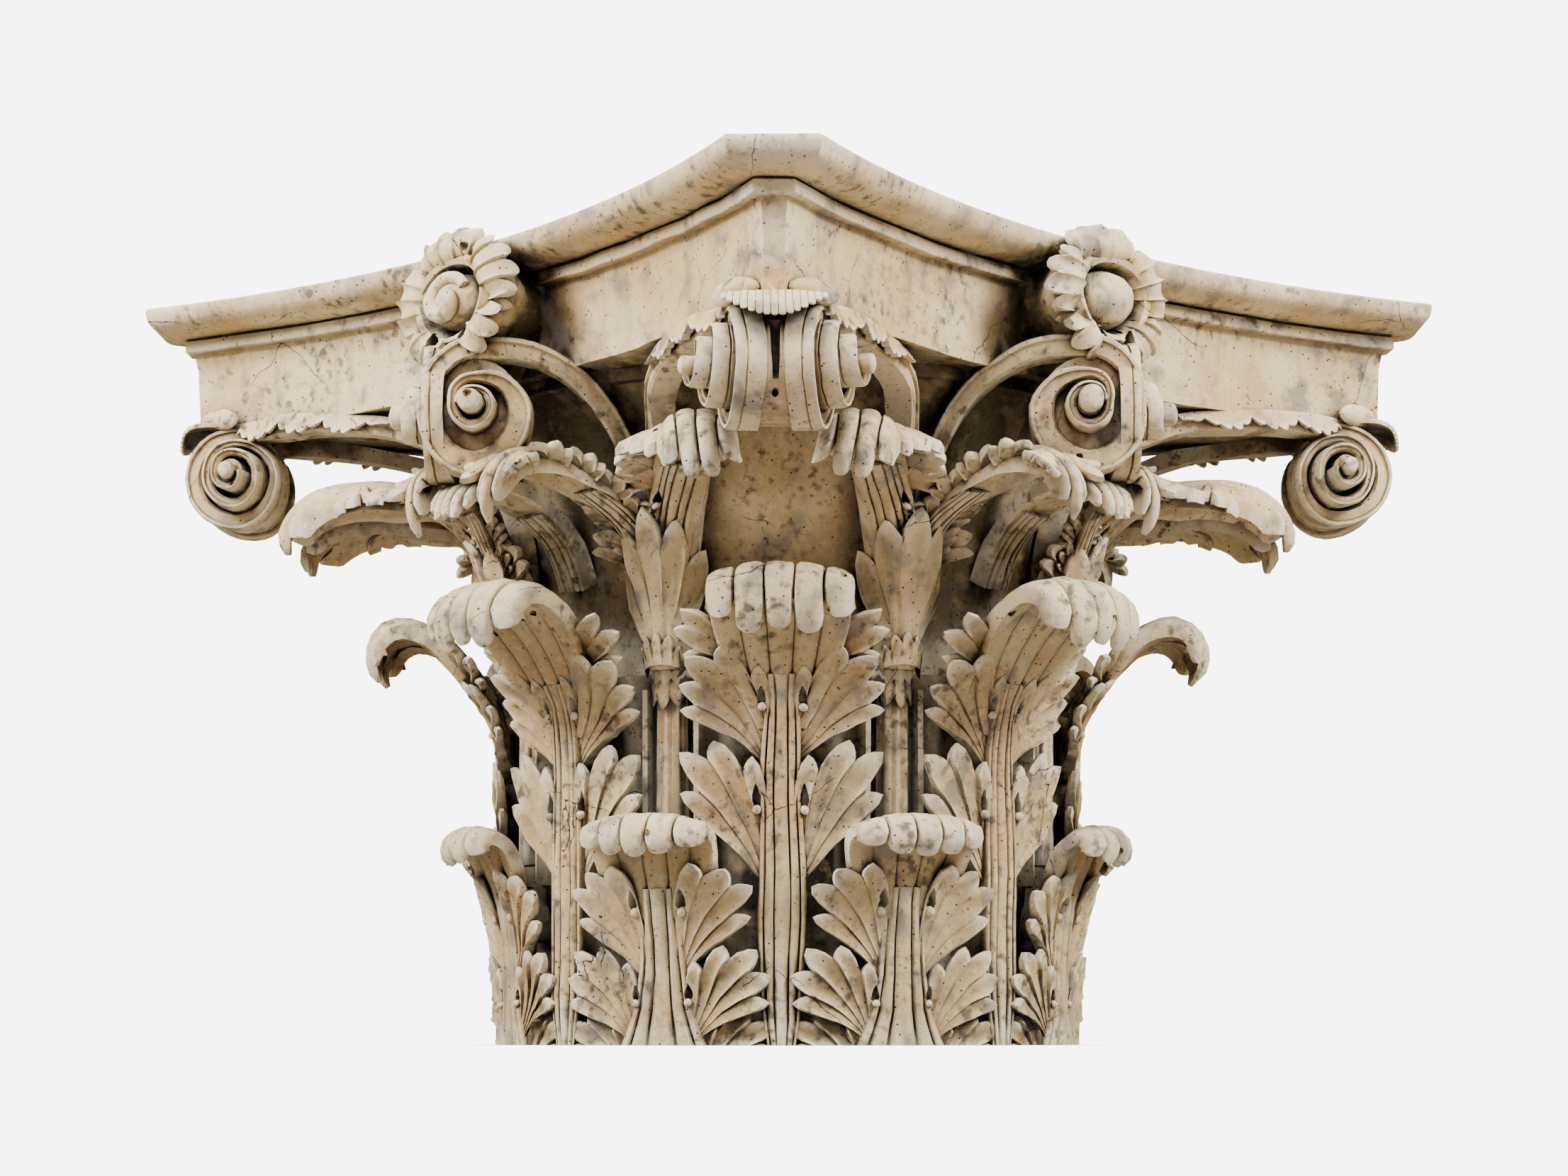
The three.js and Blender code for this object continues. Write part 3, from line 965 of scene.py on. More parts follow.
@dataclass(frozen=True)
class Scroll:
    """A spiral band that steps outwards to its eye, with the stalk that feeds it.

    Attributes:
        eye: Distance along the X axis, across it, and height of the eye.
        turn: Degrees between the scroll's plane and the XZ plane.
        reach: Outer radius at each quarter turn, from the top, over the front and on inwards.
        width: Radial width of the band at the start and at the eye.
        stand: How far the front of the band stands out of the plane, turn by turn.
        back: How far the band reaches behind the plane, turn by turn.
        eye_size: Radius of the eye, and how far it stands out of the plane.
        stalk: Places that the band comes from.
        drum: Depth of the hollow between the band's front and the block that it winds round.
    """

    eye: Triple
    turn: float
    reach: tuple[float, ...]
    width: tuple[Pair, ...]
    stand: tuple[Pair, ...]
    back: tuple[Pair, ...]
    eye_size: Pair
    stalk: tuple[Triple, ...]
    drum: float = 12.0

    def axes(self) -> tuple[Points, Points, Points]:
        """Returns the scroll's own directions: along its plane, up, and out of it."""
        turn = math.radians(self.turn)
        along = np.array([math.cos(turn), -math.sin(turn), 0.0])
        out = np.array([math.sin(turn), math.cos(turn), 0.0])
        return along, np.array([0.0, 0.0, 1.0]), out

    def centre(self) -> Points:
        """Returns the eye's place in the capital's frame."""
        return np.array(self.eye, float)

    def feed(self, steps: int) -> tuple[Points, Points]:
        """Threads the stalk's line.

        Args:
            steps: Points made between two places of the stalk.

        Returns:
            The line's points, and at each the way that points out of its bend.
        """
        along, up, out = self.axes()
        top = self.centre() + up * self.reach[0]
        beyond = top + along * self.reach[0] * 0.2
        line = catmull_rom(np.vstack([np.array(self.stalk, float), top, beyond]), steps)[:-steps]
        heading = np.gradient(line, axis=0)[:-1]
        rising = np.cross(heading, out)
        rising = rising / np.linalg.norm(rising, axis=1, keepdims=True)
        return line[:-1], rising * np.sign(rising @ (up - along))[:, None]

    def crest(self, tooth: float = 13.0, teeth: int = 4) -> Piece:
        """Builds the acanthus that lies along the stalk's top, its teeth hanging over the side.

        Args:
            tooth: Millimetres from one tooth to the next.
            teeth: Teeth in each lobe.

        Returns:
            The crest as one closed shell.
        """
        out = self.axes()[2]
        line, rising = self.feed(40)
        along = np.concatenate([[0.0], np.cumsum(np.linalg.norm(np.diff(line, axis=0), axis=1))])
        drawn = np.arange(0.56 * along[-1], along[-1], tooth / 8)
        place = np.stack([np.interp(drawn, along, line[:, axis]) for axis in range(3)], -1)[:, None]
        rise = np.stack([np.interp(drawn, along, rising[:, axis]) for axis in range(3)], -1)[:, None]
        ahead = np.cross(out, rise)
        ahead = ahead * np.sign(ahead @ self.axes()[0])[..., None]
        lobe = (drawn / (tooth * teeth)) % 1.0
        arch = np.abs(np.sin(drawn / tooth * math.pi)) ** 0.7
        taper = ease(drawn - drawn[0], 0.0, 40.0)
        reach = (4.0 + 14.0 * taper * np.sin(lobe * math.pi) ** 0.6 * (0.55 + 0.45 * arch))[:, None]
        front = np.interp(drawn / along[-1], (0.0, 1.0), (self.stand[0][1], self.stand[1][1]))[:, None]
        share = np.linspace(0.0, 1.0, 6)[None, :]
        down = -3.0 + (reach + 3.0) * share
        ridge = 1.6 * (arch[:, None] - 0.5) * share
        face = front + 2.0 + 4.0 * share ** 2 + ridge
        inner = front - 4.0 + 4.0 * share ** 2 * (share > 0.5)
        flat = place - rise * down[..., None] + ahead * (0.5 * reach * share ** 1.5)[..., None]
        return slab(flat + out * face[..., None], flat + out * inner[..., None])

    def band(self) -> Piece:
        """Builds the stalk and the spiral.

        Returns:
            Both as one closed band.
        """
        along, up, out = self.axes()
        quarters = np.arange(0.0, len(self.reach) - 1 + 1e-6, 1 / 9)
        low = np.minimum(quarters.astype(int), len(self.reach) - 2)
        share = quarters - low
        share = (share + (1 - np.cos(share * math.pi)) / 2) / 2
        reach = np.array(self.reach)
        radius = reach[low] * (1 - share) + reach[low + 1] * share
        angle = math.pi / 2 - quarters * math.pi / 2
        outward = along * np.cos(angle)[:, None] + up * np.sin(angle)[:, None]
        spiral = self.centre() + outward * radius[:, None]
        feed, rising = self.feed(8)
        level = np.repeat(out[None], len(feed), axis=0)
        line = np.vstack([feed, spiral])
        radial = np.vstack([rising, outward])
        axial = np.vstack([level, np.repeat(out[None], len(spiral), axis=0)])
        place = np.concatenate([np.linspace(-3.0, 0.0, len(feed), endpoint=False), quarters])
        width = read_line(self.width, place)
        front = read_line(self.stand, place)
        back = np.where(place > 4, front - 40.0, -read_line(self.back, place))
        fillet = np.minimum(4.5, width * 0.3)
        rib = front * 0.62 + back * 0.38
        section = [(0 * width, back), (0 * width, rib - 1.2), (1.6 + 0 * width, rib),
                   (0 * width, rib + 1.2), (0 * width, front - 3), (1.5 + 0 * width, front),
                   (fillet, front), (fillet + 1.2, front - 2.6), (width - 3, front - 2.6),
                   (width - 0.5, front - 5), (width, back)]
        rings = [line + axial * height[:, None] - radial * depth[:, None] for depth, height in section]
        return tube(np.stack(rings, axis=1))

    def disc(self, radius: float, low: float, high: float, dome: float = 0.0) -> Piece:
        """Builds a round block on the eye's axis.

        Args:
            radius: Its radius.
            low: Where it begins, out of the scroll's plane.
            high: Where it ends.
            dome: How far its end is rounded off.

        Returns:
            The block as a closed shell.
        """
        along, up, out = self.axes()
        angle = np.linspace(0.0, 2 * math.pi, 28, endpoint=False)[:, None]
        round_about = along * np.cos(angle) + up * np.sin(angle)
        steps = [(radius, low), (radius, high - dome)]
        if dome:
            steps += [(radius * 0.88, high - dome * 0.4), (radius * 0.5, high)]
        return tube(np.array([self.centre() + out * place + round_about * size for size, place in steps]))

    def build(self) -> Piece:
        """Builds the scroll about the X axis.

        Returns:
            The band, the blocks that it winds round and the eye as one closed shell.
        """
        last = len(self.reach) - 1
        floor = read_line(self.stand, 1.0) - self.drum
        behind = -0.8 * read_line(self.back, 1.0)
        inner_floor = read_line(self.stand, last - 1.0) - self.drum * 0.8
        shells = [
            self.band(),
            self.disc(min(self.reach[:4]) - 7, behind, floor),
            self.disc(self.reach[-1] - 3, floor - 2, inner_floor),
            self.disc(self.eye_size[0], floor - 2, self.eye_size[1], dome=4.0),
        ]
        return united(shells)


def corner_scroll() -> Scroll:
    """Draws one of the two scrolls back to back under a corner.

    Returns:
        The scroll, about the X axis.
    """
    return Scroll(
        eye=(553, 24, 579), turn=12,
        reach=(50, 60, 54, 42, 37, 35, 36, 29, 25, 21, 19, 16),
        width=((-3, 15), (0, 16), (1, 18), (2, 18), (3, 13), (4, 10), (6, 11), (8, 9), (11, 7)),
        stand=((-3, 12), (0, 20), (3, 20), (4, 33), (7, 41), (9, 50), (11, 56)),
        back=((-3, 14), (-0.5, 13), (0.3, 5), (1.6, 5), (2.4, 12)), eye_size=(8.5, 61),
        stalk=(tuple(around(296, 440, 22)), tuple(around(304, 510, 22)), tuple(around(330, 582, 20)),
               tuple(around(392, 617, 15.5)), tuple(around(456, 629, 9.6)),
               tuple(around(508, 631, 6.0))),
    )


def corner_spool() -> Piece:
    """Builds the block between the two scrolls of a corner, with its groove and its nail hole.

    Returns:
        The block as a closed shell, about the X axis.
    """
    widths = (-23.0, -7.0, 7.0, 23.0)
    inset = 4.0
    beyond = 660.0
    groove_bottom, nail_bottom = 596.0, 574.0
    nail_height, nail_radius = 548, 3
    plan = corner_scroll()
    reach = np.array([plan.reach[quarter % 4] for quarter in range(5)])
    quarters = np.linspace(0.0, 4.0, 48, endpoint=False)
    low = quarters.astype(int)
    share = (1 - np.cos((quarters - low) * math.pi)) / 2
    radius = reach[low] * (1 - share) + reach[low + 1] * share - inset
    angle = math.pi / 2 - quarters * math.pi / 2
    forward, upward = plan.eye[0] + radius * np.cos(angle), plan.eye[2] + radius * np.sin(angle)
    rings = [np.stack([forward, 0 * angle + across, upward], axis=-1) for across in widths]
    mouth = ((-2.5, 557), (2.5, 557), (6, 640), (-6, 640))
    groove = [[(out, half, height) for half, height in mouth] for out in (groove_bottom, beyond)]
    turn = np.linspace(0.0, 2 * math.pi, 14, endpoint=False)
    round_about = (nail_radius * np.cos(turn), nail_height + nail_radius * np.sin(turn))
    nail = [np.stack([0 * turn + out, *round_about], -1) for out in (nail_bottom, beyond)]
    return cut(tube(np.array(rings)), [tube(np.array(groove)), tube(np.array(nail))])


def helix() -> Scroll:
    """Draws one of the two linked scrolls under the middle of a side.

    Returns:
        The scroll, about the X axis.
    """
    return Scroll(
        eye=(436, 34, 591), turn=45,
        reach=(66, 53, 65, 54, 31, 21, 26, 22, 17, 15),
        width=((-3, 17), (0, 20), (2, 24), (3, 24), (4, 10), (6, 10), (9, 7)),
        stand=((-3, -4), (0, 0), (3, 0), (4, 14), (5, 23), (9, 23)),
        back=((0, 32), (0.7, 20), (1.5, 20), (2.3, 32)), eye_size=(11.4, 36), drum=9.0,
        stalk=(tuple(around(296, 440, 22)), tuple(around(304, 500, 21.5)), tuple(around(330, 568, 20)),
               tuple(around(356, 612, 17)), tuple(around(384, 640, 13.2)), tuple(around(410, 653, 9.6))),
    )


@dataclass(frozen=True)
class Abacus:
    """The moulded slab on top, with four hollow sides and blunt corners.

    Attributes:
        bottom: Height of its underside.
        side_radius: Radius of each hollow side, at the top edge.
        side_middle: Distance of the middle of a side from the axis, at the top edge.
        corner: Distance of a corner's flat face from the middle of the side, along the X axis.
        steps: Points along each side.
    """

    bottom: float = 630.0
    side_radius: float = 1188.0
    side_middle: float = 409.0
    corner: float = 654.0
    steps: int = 26

    def outline(self, setback: float, height: float) -> Points:
        """Draws the slab's outline at one height.

        Args:
            setback: How far inside the top edge it lies.
            height: Its height.

        Returns:
            The outline's points.
        """
        centre = self.side_middle + self.side_radius
        radius = self.side_radius + setback
        reach = self.corner - setback
        end = math.pi / 4 + math.asin((math.sqrt(2) * reach - centre) / (math.sqrt(2) * radius))
        angle = np.linspace(-end, end, self.steps)
        side = np.stack([centre - radius * np.cos(angle), radius * np.sin(angle), 0 * angle + height], -1)
        return np.vstack([turned(side, 90.0 * face) for face in range(FACES)])

    def profile(self) -> list[Pair]:
        """Returns the setback and height of each line of the mouldings, from the bottom."""
        top = DRAWN_HEIGHT
        frieze = [(50, self.bottom), (50, 645), (49.6, 668), (48.4, 690), (46.5, 702), (45, 709.5)]
        fillet = [(37, 710), (36, 711), (36, 721), (36.6, 721.8), (40, 722.4), (40, 724)]
        ovolo = [(34 - 32.5 * math.sin(turn), 724.5 + 17 * (1 - math.cos(turn)))
                 for turn in np.linspace(0.0, 1.57, 9)]
        return frieze + fillet + ovolo + [(0.8, 744), (0.6, 748), (2.0, top)]

    def build(self) -> Piece:
        """Builds the slab."""
        return tube(np.array([self.outline(*line) for line in self.profile()]))


class Bud(Enum):
    """What lies in the heart of a fleuron."""

    COILED = "coiled bud"
    ROUND = "round fruit"


@dataclass(frozen=True)
class Fleuron:
    """The flower in the middle of a side of the abacus: fingered petals bent back round a bud.

    Attributes:
        centre: Height of its middle.
        sizes: Size of each petal, going round.
        first: Degrees from upright to the first petal.
        broad: How much broader than high the flower is.
        set_back: How far it is moved towards the capital's axis once drawn.
        profile: Distance out and radius of each ring of the cup.
        fingers: Degrees and length of each finger of a petal.
        sides: Points round the cup and the bud.
        fruit: Distance out and radius of the ball in its heart, and how far its front bulges.
        tail: Points along the tail that winds round the coiled bud.
        clear_of: Distance out beyond which the petals may rise over the top bed.
    """

    centre: float = 694.0
    sizes: tuple[float, ...] = (1.0, 0.92, 0.86, 0.84, 0.96)
    first: float = 8.0
    broad: float = 1.26
    set_back: float = 9.0
    profile: tuple[Pair, ...] = ((352, 36), (396, 40), (414, 46), (430, 47), (442, 44), (448, 39),
                                 (446, 34.5), (437, 32), (420, 28))
    fingers: tuple[Pair, ...] = ((48, 64), (64, 78), (82, 86), (98, 86), (116, 78), (132, 64))
    sides: int = 60
    fruit: Triple = (432, 27, 24)
    tail: int = 36
    clear_of: float = 410.0

    def ring(self, out: float, radius: float) -> Points:
        """Draws one slightly uneven ring about the flower's axis.

        Args:
            out: Distance from the capital's axis.
            radius: Its radius.

        Returns:
            The ring's points.
        """
        angle = np.linspace(0.0, 2 * math.pi, self.sides, endpoint=False)
        uneven = radius * (1.0 + 0.03 * np.sin(2 * angle + 1.1) + 0.02 * np.sin(3 * angle))
        return np.stack([out + 0 * angle, uneven * np.cos(angle), self.centre + uneven * np.sin(angle)], -1)

    def cup(self) -> Piece:
        """Builds the smooth cup that carries the petals."""
        return tube(np.array([self.ring(*line) for line in self.profile]))

    def petal(self, turn: float, size: float) -> Piece:
        """Builds one petal, which rolls over backwards.

        Args:
            turn: Degrees from upright, about the flower's axis.
            size: How long its fingers are, as a share of the drawn ones.

        Returns:
            The petal as a closed shell.
        """
        spine = Spine([(424, self.centre + 24), (441, self.centre + 32), (451, self.centre + 43),
                       (449, self.centre + 54), (437, self.centre + 62), (419, self.centre + 65),
                       (402, self.centre + 62)], wrap=52)
        fingers = tuple((angle, reach * size) for angle, reach in self.fingers)
        shell = Lobe((0, -14), fingers, notch=0.85, sweep=0.0, cup=3.0, dish=-3.0, lift=2.0,
                     thick=(17, 9), start=16, sharp=2.2).shell(spine)
        points = read_points(shell) - (0.0, 0.0, self.centre)
        cosine, sine = math.cos(math.radians(turn)), math.sin(math.radians(turn))
        swung = points @ np.array([[1.0, 0.0, 0.0], [0.0, cosine, sine], [0.0, -sine, cosine]])
        write_points(shell, swung + (0.0, 0.0, self.centre))
        return shell

    def holes(self) -> list[Piece]:
        """Builds the cutters of the drop-shaped holes low in the cup.

        Returns:
            The two cutters.
        """
        half, below = 90, 34
        levels = (self.centre - half, self.centre, self.centre + half)
        upright = Spine([(440, level) for level in levels], wrap=4000)
        hole = Eye(17, half - below, 16, 9, lean=24)
        return [hole.cutter(upright, side) for side in (-1, 1)]

    def bud(self, kind: Bud) -> Piece:
        """Builds what lies in the flower's heart.

        Args:
            kind: A plain fruit, or a bud whose tail winds round it.

        Returns:
            The fruit or bud as one closed shell.
        """
        out, radius, bulge = self.fruit
        rings = [self.ring(out + bulge * math.sin(rise), max(radius * math.cos(rise), 1.5))
                 for rise in np.linspace(-1.2, 1.5, 12)]
        ball = tube(np.array(rings))
        if kind is Bud.ROUND:
            return ball
        turn = np.linspace(-0.35, 1.75, self.tail) * math.pi
        share = np.linspace(0.0, 1.0, self.tail)
        reach = 21 - 14 * share
        upward = self.centre + 1.1 * reach * np.cos(turn)
        line = np.stack([447 + 9 * share ** 0.7, -reach * np.sin(turn), upward], -1)
        ahead = np.gradient(line, axis=0)
        ahead = ahead / np.linalg.norm(ahead, axis=1, keepdims=True)
        front = np.array([1.0, 0.0, 0.0])
        side = np.cross(ahead, front)
        angle = np.linspace(0.0, 2 * math.pi, 12, endpoint=False)[None, :, None]
        size = ((5.0 + 6.0 * share) * np.sqrt(np.clip(1 - share ** 7, 0.02, 1)))[:, None, None]
        tail = line[:, None] + size * (side[:, None] * np.cos(angle) + front * np.sin(angle))
        return united([ball, tube(tail)])

    def build(self, kind: Bud) -> Piece:
        """Builds the flower about the X axis.

        Args:
            kind: What lies in its heart.

        Returns:
            The flower as one closed shell, with nothing of it over the top bed nearer the capital's axis
            than clear_of.
        """
        step = 360.0 / len(self.sizes)
        petals = [self.petal(self.first + step * index, size) for index, size in enumerate(self.sizes)]
        flower = united([cut(united([self.cup()] + petals), self.holes()), self.bud(kind)])
        write_points(flower, (read_points(flower) - (self.set_back, 0.0, 0.0)) * (1.0, self.broad, 1.0))
        bed = DRAWN_HEIGHT - 0.2
        near, half, above = 300, 120, 60
        corners = [(near, -half), (self.clear_of, -half), (self.clear_of, half), (near, half)]
        levels = (bed, bed + above)
        block = tube(np.array([[(*corner, level) for corner in corners] for level in levels], float))
        return cut(flower, [block])


def corner_leaf() -> Acanthus:
    """Draws the leaf under one scroll of a corner.

    Returns:
        The leaf, about the X axis.
    """
    spine = Spine([(296, 440, 22), (318, 490, 19), (352, 530, 15), (398, 549, 11.5), (445, 550, 9.5),
                   (485, 537, 8.4), (506, 515, 7.6), (507, 493, 7.2)], facing=(22, 6), wrap=260)
    return Acanthus(
        spine,
        Stalk(((0, 25), (60, 26), (130, 27)), behind=22, rows=10, groove=2.2,
              ribs=(0.2, 0.16, 0.22, 0.14, 0.12, 0.16)),
        right=(
            Lobe((10, -6), ((24, 84), (38, 94), (54, 88)), lift=12, out=-2),
            Lobe((12, 48), ((4, 60), (20, 68), (38, 66)), lift=10, thick=(14, 8), sweep=0.3),
            Lobe((14, 92), ((6, 52), (24, 62), (46, 68)), lift=6, thick=(14, 8), sweep=0.2),
            Lobe((16, 126), ((4, 56), (26, 68), (50, 68)), out=3, lift=12, thick=(17, 11),
                 sweep=0.2, sharp=1.4),
            Lobe((18, 164), ((0, 50), (22, 66), (48, 66)), out=5, lift=14, thick=(17, 11),
                 sweep=0.2, sharp=1.4),
            Lobe((20, 204), ((6, 36), (32, 48), (60, 52)), out=7, lift=16, thick=(14, 9),
                 sweep=0.2, sharp=1.4),
        ),
        curl=Curl(
            start=96, tongues=(296, 314, 316, 300),
            halves=((96, 24), (125, 28), (160, 34), (200, 37), (320, 37)),
            thick=((96, 14), (150, 14), (250, 15), (320, 8)),
            grooved=(0.5, 0.62), slit=24, groove=6, droop=18,
        ),
        eyes=(Eye(17, 86, 18, 8), Eye(17, 34, 16, 8)),
    )


def side_leaf() -> Acanthus:
    """Draws the leaf that arches from a calyx towards the middle of a side.

    Returns:
        The leaf, about the X axis.
    """
    spine = Spine([(296, 440, 22.5), (322, 486, 19), (352, 518, 14.5), (388, 536, 11), (418, 534, 8.6),
                   (436, 512, 7.4), (434, 486, 7), (424, 468, 7)], facing=(22, 4), wrap=260)
    fans = tuple(Lobe((6, along), ((14, 30), (36, 37), (60, 42)), lift=lift, thick=(12, 7),
                      sweep=0.2, columns=8, rows=9)
                 for along, lift in ((24, 4), (56, 2), (88, -6), (120, -12), (152, -14), (182, -12)))
    return Acanthus(
        spine,
        Stalk(((0, 18), (60, 14), (110, 14)), behind=18, rows=8),
        lobes=fans,
        curl=Curl(
            start=70, tongues=(232, 250, 232),
            halves=((70, 12), (100, 18), (150, 20), (190, 17), (235, 16), (250, 10)),
            thick=((70, 14), (150, 14), (190, 14), (250, 8)),
            grooved=(0.3, 0.5), slit=14, groove=5, droop=9,
        ),
    )


def bud_leaf() -> Acanthus:
    """Draws the small leaf under the middle of a side.

    Returns:
        The leaf, about the X axis.
    """
    spine = Spine([(286, 440), (306, 480), (346, 508), (388, 519), (422, 514), (440, 496), (440, 474)],
                  wrap=120)
    return Acanthus(
        spine,
        Stalk(((0, 18), (50, 16), (90, 18)), behind=16, rows=8),
        curl=Curl(
            start=40, tongues=(196, 204, 206, 204, 196),
            halves=((40, 16), (90, 24), (140, 34), (206, 30)),
            thick=((40, 16), (140, 14), (206, 8)),
            grooved=(0.7, 0.85), slit=16, groove=3.5, round=8,
        ),
    )


def corner_cap() -> Acanthus:
    """Draws the small leaf that droops over the two scrolls of a corner.

    Returns:
        The leaf, about the X axis.
    """
    spine = Spine([(508, 628), (548, 629), (586, 630), (610, 628), (621, 620), (625, 606)], wrap=120)
    tongues = tuple(128 - 19 * (place / 7) ** 2 for place in range(-7, 8))
    return Acanthus(
        spine,
        curl=Curl(
            start=0, tongues=tongues,
            halves=((0, 20), (50, 34), (90, 44), (128, 48)),
            thick=((0, 5), (90, 5), (128, 3.5)),
            grooved=(0.7, 0.95), slit=1.2, groove=0.8, round=1.6, bulge=0.5, columns=6, rows=16,
        ),
    )


@dataclass(frozen=True)
class Hump:
    """The rounded back of the corner's small leaf, which lies along the abacus.

    Attributes:
        middle: Distance out, distance to the side, and height of its middle.
        size: Half its length, half its depth and half its height.
    """

    middle: Triple = (579, 33, 637)
    size: Triple = (30, 8, 12)

    def build(self, side: int) -> Piece:
        """Builds the hump about the X axis.

        Args:
            side: 1 for the one on the left of the corner and -1 for the one on its right.

        Returns:
            The hump as a closed shell.
        """
        slant = 0.707
        forward, sideways, height = self.middle
        long, deep, high = self.size
        angle = np.linspace(0.0, 2 * math.pi, 28, endpoint=False)
        rings = []
        for rise in np.linspace(-1.5, 1.5, 9):
            reach = max(math.cos(rise), 0.05)
            along, out = long * reach * np.cos(angle), deep * reach * np.sin(angle)
            ring = [forward + slant * (out - along), side * (sideways + slant * (out + along)),
                    0 * angle + height + high * math.sin(rise)]
            rings.append(np.stack(ring, axis=-1))
        return tube(np.array(rings))


# ------------------------------------------------------------------ the two blocks


@dataclass(frozen=True)
class Wear:
    """What time and handling have done to a block.

    Attributes:
        losses: Radius, height and degrees of each marked loss, and its size.
        chips: How many small chips there are as well.
        floor: Height below which nothing is chipped.
        seed: Picks the small chips.
        sizes: Least and greatest size of a small chip.
        stands_out: Distance from the capital's axis beyond which small chips are found.
        sides: Sides of each chip's hollow.
    """

    losses: tuple[tuple[Triple, float], ...]
    chips: int
    floor: float
    seed: int
    sizes: Pair = (2.5, 5.5)
    stands_out: float = 345.0
    sides: int = 7

    def places(self, piece: Piece, draw: np.random.Generator) -> list[tuple[Points, float]]:
        """Picks where the chips are.

        Args:
            piece: The block.
            draw: Picks the small ones.

        Returns:
            The middle and size of each.
        """
        points = read_points(piece)
        reach = np.hypot(points[:, 0], points[:, 1])
        height = points[:, 2]
        outer = points[(reach > self.stands_out) & (height > self.floor) & (height < DRAWN_HEIGHT)]
        marked = [(around(*place), size) for place, size in self.losses]
        picked = outer[draw.integers(0, len(outer), self.chips)]
        return marked + [(place, draw.uniform(*self.sizes)) for place in picked]

    def knock(self, piece: Piece) -> Piece:
        """Knocks the chips off a block.

        Args:
            piece: The block.

        Returns:
            The chipped block.
        """
        draw = np.random.default_rng(self.seed)
        angle = np.linspace(0.0, 2 * math.pi, self.sides, endpoint=False)
        rocks = []
        for place, size in self.places(piece, draw):
            rings = []
            for rise in (-1.2, -0.5, 0.2, 1.1):
                rough = size * math.cos(rise) * draw.uniform(0.7, 1.25, self.sides)
                level = size * (math.sin(rise) + draw.uniform(-0.15, 0.15, self.sides))
                rings.append(np.stack([rough * np.cos(angle), rough * np.sin(angle), level], -1))
            tilt, _ = np.linalg.qr(draw.normal(size=(3, 3)))
            rocks.append(tube(np.array(rings) @ tilt + np.asarray(place)))
        return cut(piece, [united(rocks)])


def weathered(piece: Piece, faces: int, seed: int) -> Piece:
    """Thins a block's mesh and gives it the slow unevenness of hand work.

    Args:
        piece: The block as drawn.
        faces: Most triangles that it may have.
        seed: Picks the pattern.

    Returns:
        The same block.
    """
    bed_margin, bed_fade = 2.0, 40.0
    slow_wave, slow_push = 120.0, 1.3
    fine_wave, fine_push = 26.0, 0.35
    activate(piece)
    bpy.ops.object.modifier_add(type="TRIANGULATE")
    bpy.ops.object.modifier_apply(modifier=piece.modifiers[-1].name)
    drawn = len(piece.data.polygons)
    LOG.info("drawn with %d triangles", drawn)
    if drawn > faces:
        bpy.ops.object.modifier_add(type="DECIMATE")
        piece.modifiers[-1].ratio = faces / drawn
        bpy.ops.object.modifier_apply(modifier=piece.modifiers[-1].name)
    points = read_points(piece)
    height = points[:, 2:]
    beds = np.minimum(np.abs(height - JOINT_HEIGHT), np.minimum(height, DRAWN_HEIGHT - height))
    loose = np.clip((beds - bed_margin) / bed_fade, 0.0, 1.0)
    push = wander(points, slow_wave, seed) * slow_push + wander(points, fine_wave, seed + 1) * fine_push
    write_points(piece, points + push * loose)
    return piece


@dataclass(frozen=True)
class LowerBlock:
    """The lower block: foot of the bell, both rows of leaves, and the stems.

    Attributes:
        slot: The record's name for its material; not used.
        node: The CAD node that it stands for.
        bell: Radius and height of each ring of the bell.
        bell_sides: Faces round the bell.
        wear: What is knocked off it.
        uneven: Picks the pattern of its unevenness.
    """

    slot: str = "aged_plaster_lower"
    node: str = "lower_block"
    bell: tuple[Pair, ...] = ((259, 0), (259, 120), (261, 240), (264, JOINT_HEIGHT - JOINT_GAP / 2))
    bell_sides: int = 96
    wear: Wear = Wear(
        losses=(((352, 372, -31), 13), ((345, 268, -62), 9), ((392, 395, -105), 14),
                ((350, 190, -50), 8), ((338, 96, -12), 8), ((352, 175, -83), 8), ((398, 388, 12), 9)),
        chips=70, floor=12.0, seed=3,
    )
    uneven: int = 5

    def build(self) -> Piece:
        """Builds the block.

        Returns:
            The block as one closed shell, flat at its underside and at the joint.
        """
        shells = [lathe(self.bell, self.bell_sides)]
        shells += row_of(upper_leaf().build(), LEAVES_PER_ROW, 0.0)
        shells += row_of(lower_leaf().build(), LEAVES_PER_ROW, HALF_STEP)
        shells += row_of(Stem().build(), LEAVES_PER_ROW, HALF_STEP)
        under = lathe([(500, -200), (500, 0)], 32)
        whole = self.wear.knock(cut(united(shells), [under]))
        return weathered(whole, MOST_TRIANGLES, self.uneven)


